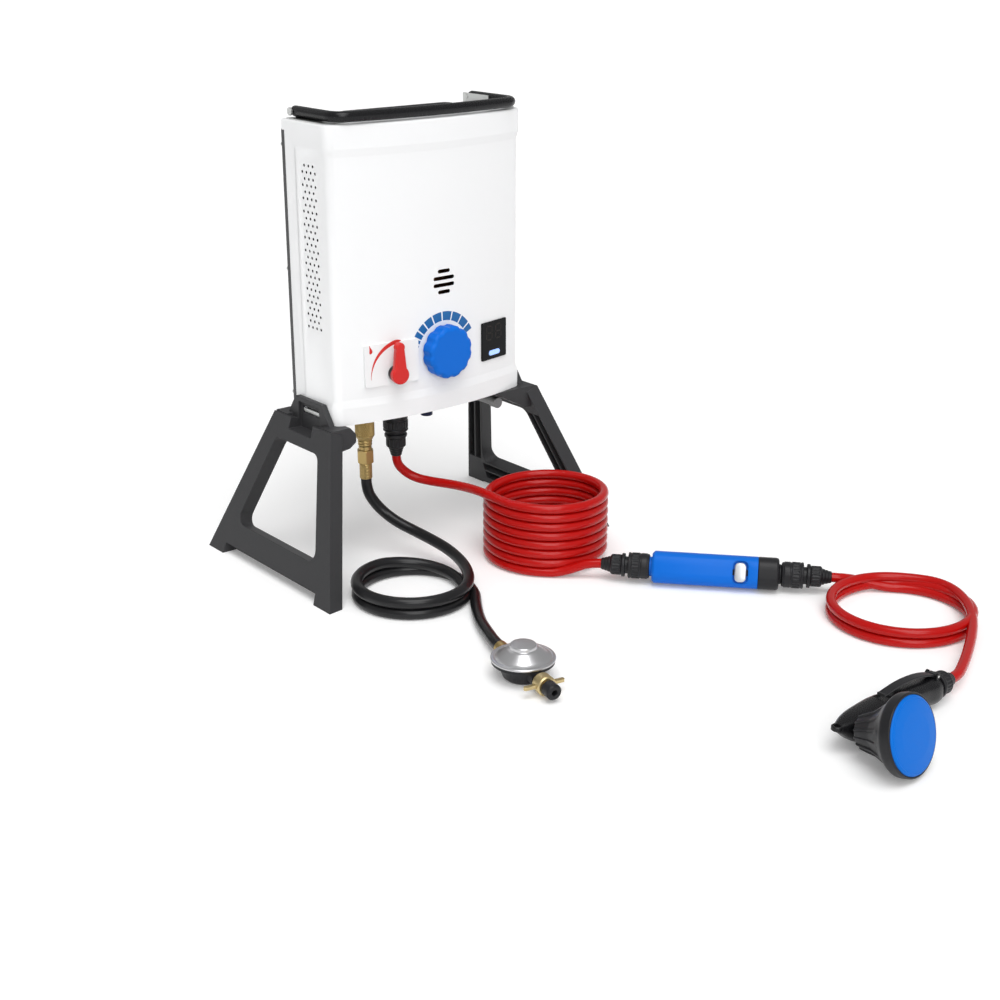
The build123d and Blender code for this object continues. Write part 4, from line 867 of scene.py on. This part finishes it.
def add_button_frame():
    """Dark lining of the slot round the valve's button: a flat plate on its floor. Its edge is the
    superellipse |y / 9.6|^4 + |z / 14.8|^4 = 1."""
    edge = squared(circle(48), 4) * SLOT_HALF
    low, high = SLOT_FLOOR
    loops = [(0 * edge, low), (edge, low), (edge, high), (0 * edge, high)]
    local = np.stack([
        np.column_stack([np.full(48, height), line[:, 0], SLOT_STATION + line[:, 1]])
        for line, height in loops
    ])
    faces = quads(4, 48, False, True)
    closed_piece("button_frame", placed(local, VALVE), faces, "connector_black", "case")


def add_regulator():
    """Pressed cover with a rolled bright rim, on a cast bowl."""
    cover = [
        (0, 24.5), (37.2, 24.5), (38, 25.3), (38, 26.7), (37.2, 27.6), (34.8, 27.9), (33.6, 27.4),
        (32.6, 27.6), (30, 28.9), (18.5, 37.4), (16.6, 38.2), (15.9, 38.5), (15.7, 40), (15.7, 41.9),
        (14.6, 43), (0, 43),
    ]
    turned_piece(
        "regulator_lid", eased(cover, 0.8, 5), upright(REGULATOR_AT[:2]), "regulator_grey", "case",
        ("regulator_cover",), 128,
    )
    dressed("regulator_base", "connector_black", 0.6)
    dressed("regulator_outlet", "brass", 0.3)
    # The wing nut is brass like the other fittings; its lighter copy of brass is painted light.
    dressed("wing_nut", "brass", 1.0, segments=3, finish="brass_painted_light")
    dressed("regulator_nose", "connector_black", 0.5)


# ---------------------------------------------------------------- shower head


def sections_at(stations, table):
    """Values of a table at stations, by a smooth curve through its rows: a cubic between each two rows,
    whose slope at a row is that of the line between its neighbours."""
    table = np.array(table, float)
    x, y = table[:, 0], table[:, 1:]
    slope = np.gradient(y, x, axis=0)
    k = np.clip(np.searchsorted(x, stations, side="right") - 1, 0, len(x) - 2)
    h = (x[k + 1] - x[k])[:, None]
    t = ((stations - x[k]) / h[:, 0])[:, None]
    return (
        (2 * t**3 - 3 * t**2 + 1) * y[k] + (t**3 - 2 * t**2 + t) * h * slope[k]
        + (3 * t**2 - 2 * t**3) * y[k + 1] + (t**3 - t**2) * h * slope[k + 1]
    )


# Station, half width, half depth and how far the middle is shifted up, of the grip and the head.
HEAD_SECTIONS = [
    (33, 14.2, 14.2, -2.5), (36, 14.9, 14.9, -2.4), (62, 14.7, 14.7, -1), (90, 14.9, 14.9, 0),
    (106, 14.5, 14.5, 0), (113, 12.6, 12.6, 0), (119, 12.8, 12.8, -0.4), (126, 15.8, 15.2, -1.6),
    (137, 18.2, 16.6, -4.0), (150, 19.2, 18.0, -6.8), (162, 19.0, 18.2, -8.4), (175, 17.6, 16.6, -8.2),
    (188, 14.2, 12.6, -6.4), (198, 9.6, 8.0, -4), (205, 6.0, 4.6, -2.4),
]
HEAD_POWER = 2.6
POCKET_HALF = 7.4
POCKET_STATIONS = (118.6, 137.6)
POCKET_FLOOR = 10.5


def add_shower_handle():
    """Grip and head in one smooth skin. The section at a station is a superellipse, |x/a|^n + |y/b|^n = 1
    with n = 2.6, whose half width, half depth and shift follow HEAD_SECTIONS. The back rises to a low
    ridge, and a pocket for the strap's tip is sunk in it."""
    stations = np.unique(np.r_[np.linspace(33, 205, 120), [s[0] for s in HEAD_SECTIONS]])
    half_w, half_d, shift = sections_at(stations, HEAD_SECTIONS).T
    cx, cy = squared(circle(72), HEAD_POWER).T
    ridge = 1.0 + 0.1 * np.clip((stations - 120) / 20, 0, 1)[:, None] * np.clip(cy, 0, 1) ** 4
    y = np.where(cy > 0, cy * ridge, cy) * half_d[:, None] + shift[:, None]
    x, z = cx * half_w[:, None], np.repeat(stations[:, None], 72, axis=1)
    pocket = (np.abs(x) < POCKET_HALF) & (z > POCKET_STATIONS[0]) & (z < POCKET_STATIONS[1])
    local = np.stack([x, np.where(pocket, np.minimum(y, POCKET_FLOOR), y), z], axis=-1)
    first, last = (np.repeat(row.mean(axis=0)[None, None], 72, axis=1) for row in (local[0], local[-1]))
    points = placed(np.concatenate([first, local, last]), HEAD)
    faces = quads(*points.shape[:2], wrap_columns=True)
    closed_piece("shower_grip", points, faces, "handle_black", "case", ("shower_handle",), 45)


EYE_R = 6.5
EYE_HOLE_R = 3.5
EYE_TAIL = 26.0


def add_eyelet():
    """Flat tab with a round hole. Its edge at angle a is (6.5 cos a, s sin a), where s is 6.5 on the side
    of the hole that faces out and 26 on the side that runs into the head. Its eight edge lines go round
    its thickness from the hole's upper rim to its lower one."""
    ray = circle(48)
    edge = ray * np.where(ray[:, 1] < 0, EYE_TAIL, EYE_R)[:, None]
    edge[:, 0] = EYE_R * ray[:, 0]
    hole = EYE_HOLE_R * ray
    wide_hole, small_edge = hole + 0.4 * ray, edge - 0.7 * ray
    loops = [
        (hole, 1.0), (wide_hole, 1.5), (small_edge, 1.5), (edge, 0.8), (edge, -2.8), (small_edge, -3.5),
        (wide_hole, -3.5), (hole, -3.0),
    ]
    local = np.stack([
        np.column_stack([line[:, 0], np.full(48, depth), HEAD_L - 2 + line[:, 1]]) for line, depth in loops
    ])
    faces = quads(8, 48, True, True)
    closed_piece(
        "hanging_eyelet", placed(local, HEAD), faces, "handle_black", "case", ("shower_handle",), 40
    )


HINGE_HEIGHT = 15.6
HINGE_STATION = 38
EARS_X = ((-8.2, -5.8), (5.8, 8.2))


def add_ears():
    """The two cheeks beside the trigger's hinge, and its pin. A cheek is a half-round plate, an arch of
    (16 + 3.2 sin a, 38 + 3.5 cos a), from x to x."""
    a = np.linspace(0, math.pi, 13)
    height, station = 16.0 + 3.2 * np.sin(a), HINGE_STATION + 3.5 * np.cos(a)
    arch = np.column_stack([np.r_[9.0, height, 9.0], np.r_[41.5, station, 34.5]])
    count = len(arch)
    plate = quads(2, count, False, True).tolist()
    plate += [list(range(count)), list(range(count, 2 * count))[::-1]]
    points = np.vstack([np.column_stack([np.full(count, x), arch]) for ear in EARS_X for x in ear])
    faces = [[corner + start for corner in face] for start in (0, 2 * count) for face in plate]
    closed_piece(
        "trigger_ears", placed(points, HEAD), faces, "handle_black", "case", ("shower_handle",), 40, 0.4
    )
    hinge = HEAD[:3, 3] + HEAD[:3, 1] * HINGE_HEIGHT + HEAD[:3, 2] * HINGE_STATION
    turned_piece(
        "trigger_pin", eased([(0, -8.4), (1.4, -8.4), (1.4, 8.4), (0, 8.4)], 0.3),
        axes(hinge, HEAD[:3, 0], HEAD[:3, 2]), "plated_steel", "case", ("shower_handle",), 24,
    )


STRAP_HALF_W = 4.8
STRAP_HALF_T = 1.3
STRAP_EYE_HALF_T = 2.4
STRAP_EYE_END = 42


def add_trigger():
    """Flat strap from its eye on the pin to the pocket in the head, in a low bow. Its middle line is given
    by (height, station) points, and its edges lie half its thickness to either side of that."""
    spine = np.array([
        (HINGE_HEIGHT, 34.6), (15.8, 41), (17.6, 46), (19.6, 54), (21.6, 66), (22.7, 80), (22.6, 96),
        (21.2, 110), (19.0, 122), (17.2, 131), (17.6, 134.5),
    ])
    spine = eased(spine, 6.0, 5)
    run = np.gradient(spine, axis=0)
    side = np.column_stack([run[:, 1], -run[:, 0]]) / np.linalg.norm(run, axis=1)[:, None]
    half = np.where(spine[:, 1] < STRAP_EYE_END, STRAP_EYE_HALF_T, STRAP_HALF_T)[:, None]
    over, under = spine + side * half, spine - side * half
    corners = ((-STRAP_HALF_W, over), (STRAP_HALF_W, over), (STRAP_HALF_W, under), (-STRAP_HALF_W, under))
    ring = np.stack([np.column_stack([np.full(len(spine), x), edge]) for x, edge in corners], axis=1)
    closed_piece(
        "trigger_strap", placed(ring, HEAD), bar_faces(len(ring)), "connector_black",
        body_of("shower_trigger"), ("shower_trigger",), 40, 0.5,
    )


def add_inlet_sleeve():
    """Dark blue sleeve on the end of the cold inlet."""
    sleeve = eased([(0, 178.5), (7.6, 178.5), (8.4, 179.4), (8.4, 190.5), (0, 190.5)], 0.5)
    turned_piece("inlet_sleeve", sleeve, upright(COLD_PORT), "navy_sleeve", "case", (), 48)


def add_shower_cup():
    """Bell behind the spray face, with a rounded rim and ribs on its neck, and the face, a shallow dome."""
    bell = [
        (0, -60), (17, -60), (20.5, -50), (24, -38), (30, -27.5), (36.6, -20), (41.6, -14.8), (43.6, -12),
        (44, -9), (44, -1.2), (43.2, 0), (41.9, 0), (41.7, -0.6), (41.7, -3), (0, -3),
    ]

    def ribbed(angle, z, r):
        rib = np.clip(np.cos(14 * angle) * 3 - 1.6, 0, 1)
        return r + 1.8 * rib * np.clip((36 - r) / 6, 0, 1) * np.clip((r - 8) / 6, 0, 1)

    turned_piece(
        "shower_bell", filled(eased(bell, 2.0, 5), 2.0), CUP, "connector_black", "case", ("shower_cup",),
        168, ribbed, 40,
    )
    dome = [
        (0, -3), (41.4, -3), (41.4, 0.2), (40.2, 1.4), (38.4, 2.1), (37.8, 1.7), (37.2, 2.2), (24.9, 3.4),
        (0, 4),
    ]
    turned_piece(
        "spray_face", eased(dome, 1.2, 5), CUP, "spray_blue", "case", ("shower_face",), 128, angle=40
    )


# ---------------------------------------------------------------- stage


FLOOR_GREY = 0.93
FLOOR_GLOW = 0.13
WORLD_LIGHT = 0.42
# Name, strength, spread in degrees and direction.
LAMPS = (
    ("overhead", 1.6, 42, (0.2, 0.35, -1.0)),
    ("front_left", 1.0, 34, (0.45, 0.8, -0.5)),
)


def add_floor():
    """A pale floor that keeps the shadow. The camera and reflections see it a little brighter."""
    bpy.ops.mesh.primitive_plane_add(size=40, location=(0, 0, 0))
    floor = bpy.context.object
    floor.name = "floor"
    material, tree, shader = new_material("floor", (FLOOR_GREY, FLOOR_GREY, FLOOR_GREY), 0.9)
    shader.inputs["Specular IOR Level"].default_value = 0.0
    output = tree.nodes["Material Output"]
    path = tree.nodes.new("ShaderNodeLightPath")
    seen = tree.nodes.new("ShaderNodeMath")
    seen.operation = "MAXIMUM"
    tree.links.new(path.outputs["Is Camera Ray"], seen.inputs[0])
    tree.links.new(path.outputs["Is Glossy Ray"], seen.inputs[1])
    lift = tree.nodes.new("ShaderNodeMath")
    lift.operation = "MULTIPLY"
    lift.inputs[1].default_value = FLOOR_GLOW
    tree.links.new(seen.outputs[0], lift.inputs[0])
    glow = tree.nodes.new("ShaderNodeEmission")
    tree.links.new(lift.outputs[0], glow.inputs["Strength"])
    both = tree.nodes.new("ShaderNodeAddShader")
    tree.links.new(shader.outputs[0], both.inputs[0])
    tree.links.new(glow.outputs[0], both.inputs[1])
    tree.links.new(both.outputs[0], output.inputs["Surface"])
    floor.data.materials.append(material)


def add_world():
    """An even light from all sides, which the camera sees as white."""
    world = bpy.data.worlds.new("studio")
    world.use_nodes = True
    bpy.context.scene.world = world
    tree = world.node_tree
    sky = tree.nodes["Background"]
    sky.inputs["Color"].default_value = (1, 1, 1, 1)
    path = tree.nodes.new("ShaderNodeLightPath")
    level = tree.nodes.new("ShaderNodeMapRange")
    level.inputs["To Min"].default_value = WORLD_LIGHT
    level.inputs["To Max"].default_value = 1.0
    tree.links.new(path.outputs["Is Camera Ray"], level.inputs["Value"])
    tree.links.new(level.outputs["Result"], sky.inputs["Strength"])


def add_lamps():
    for name, energy, spread, direction in LAMPS:
        data = bpy.data.lights.new(name, "SUN")
        data.energy = energy
        data.angle = math.radians(spread)
        lamp = bpy.data.objects.new(name, data)
        lamp.rotation_mode = "QUATERNION"
        lamp.rotation_quaternion = Vector(direction).to_track_quat("-Z", "Y")
        bpy.context.scene.collection.objects.link(lamp)


# ---------------------------------------------------------------- the whole heater

add_camera()
add_floor()
add_world()
add_lamps()

add_cover()
add_scale()
add_lever_print()
add_display_segments()
add_knob()
add_gas_fittings()
add_connector("hot", upright(HOT_PORT, HOT_HOSE_TOP), True)
add_connector("valve_in", VALVE_IN, True)
add_connector("valve_out", VALVE_OUT, True)
add_connector("shower", HEAD, False)
add_regulator()
add_shower_handle()
add_eyelet()
add_ears()
add_shower_cup()

for node, bevel in (
    ("lever_plate", 0.8), ("gas_lever", 1.6), ("display_window", 0.5), ("handle_brackets", 0.5),
    ("leg_left", 1.5), ("leg_right", 1.5), ("flue_grille", 0.3), ("flue_hood", 0.5), ("back_plate", 0.6),
    ("gas_inlet", 0.4), ("hot_outlet", 0.5), ("cold_inlet", 0.4), ("bottom_plate", 0.3),
):
    dressed(node, SLOT_OF[node], bevel)
# The display button gets a painted glow in place of the satin silver of its slot.
button = dressed("display_button", "satin_silver", 0.5, finish="painted_glow_button")
clipped_below(button.data, DISPLAY_AXES, 0.75)
dressed("carry_handle", "handle_black", slim=1.0)
# The drain plug gets a darker copy of the plated steel of its slot.
dressed("drain_plug", "plated_steel", 0.5, finish="darker_steel")
add_rear_rim()
add_button_frame()
add_lever_boss()
add_inlet_sleeve()
for node, bevel in (("valve_body", 1.6), ("valve_end_cap", 1.6), ("valve_button", 0.9)):
    dressed(node, SLOT_OF[node], bevel, move=(VALVE_SOLID, VALVE))
add_trigger()

add_hose(
    "gas_hose", GAS_ROUTE, GAS_HOSE_D, "black_rubber",
)
add_hose(
    "hot_hose", HOT_ROUTE, HOT_HOSE_D, "red_rubber",
)
add_hose("shower_hose", SHOWER_ROUTE, HOT_HOSE_D, "red_rubber")

HOSE_SOLIDS = [node for name in ("gas_hose", "hot_hose", "shower_hose") for node in hose_solids(name)]
for node in sorted(NODES):
    if node not in HOSE_SOLIDS:
        NODES[node].data.materials.clear()
        NODES[node].data.materials.append(MATERIALS[SLOT_OF[node]])

bpy.context.scene.view_settings.view_transform = "Standard"
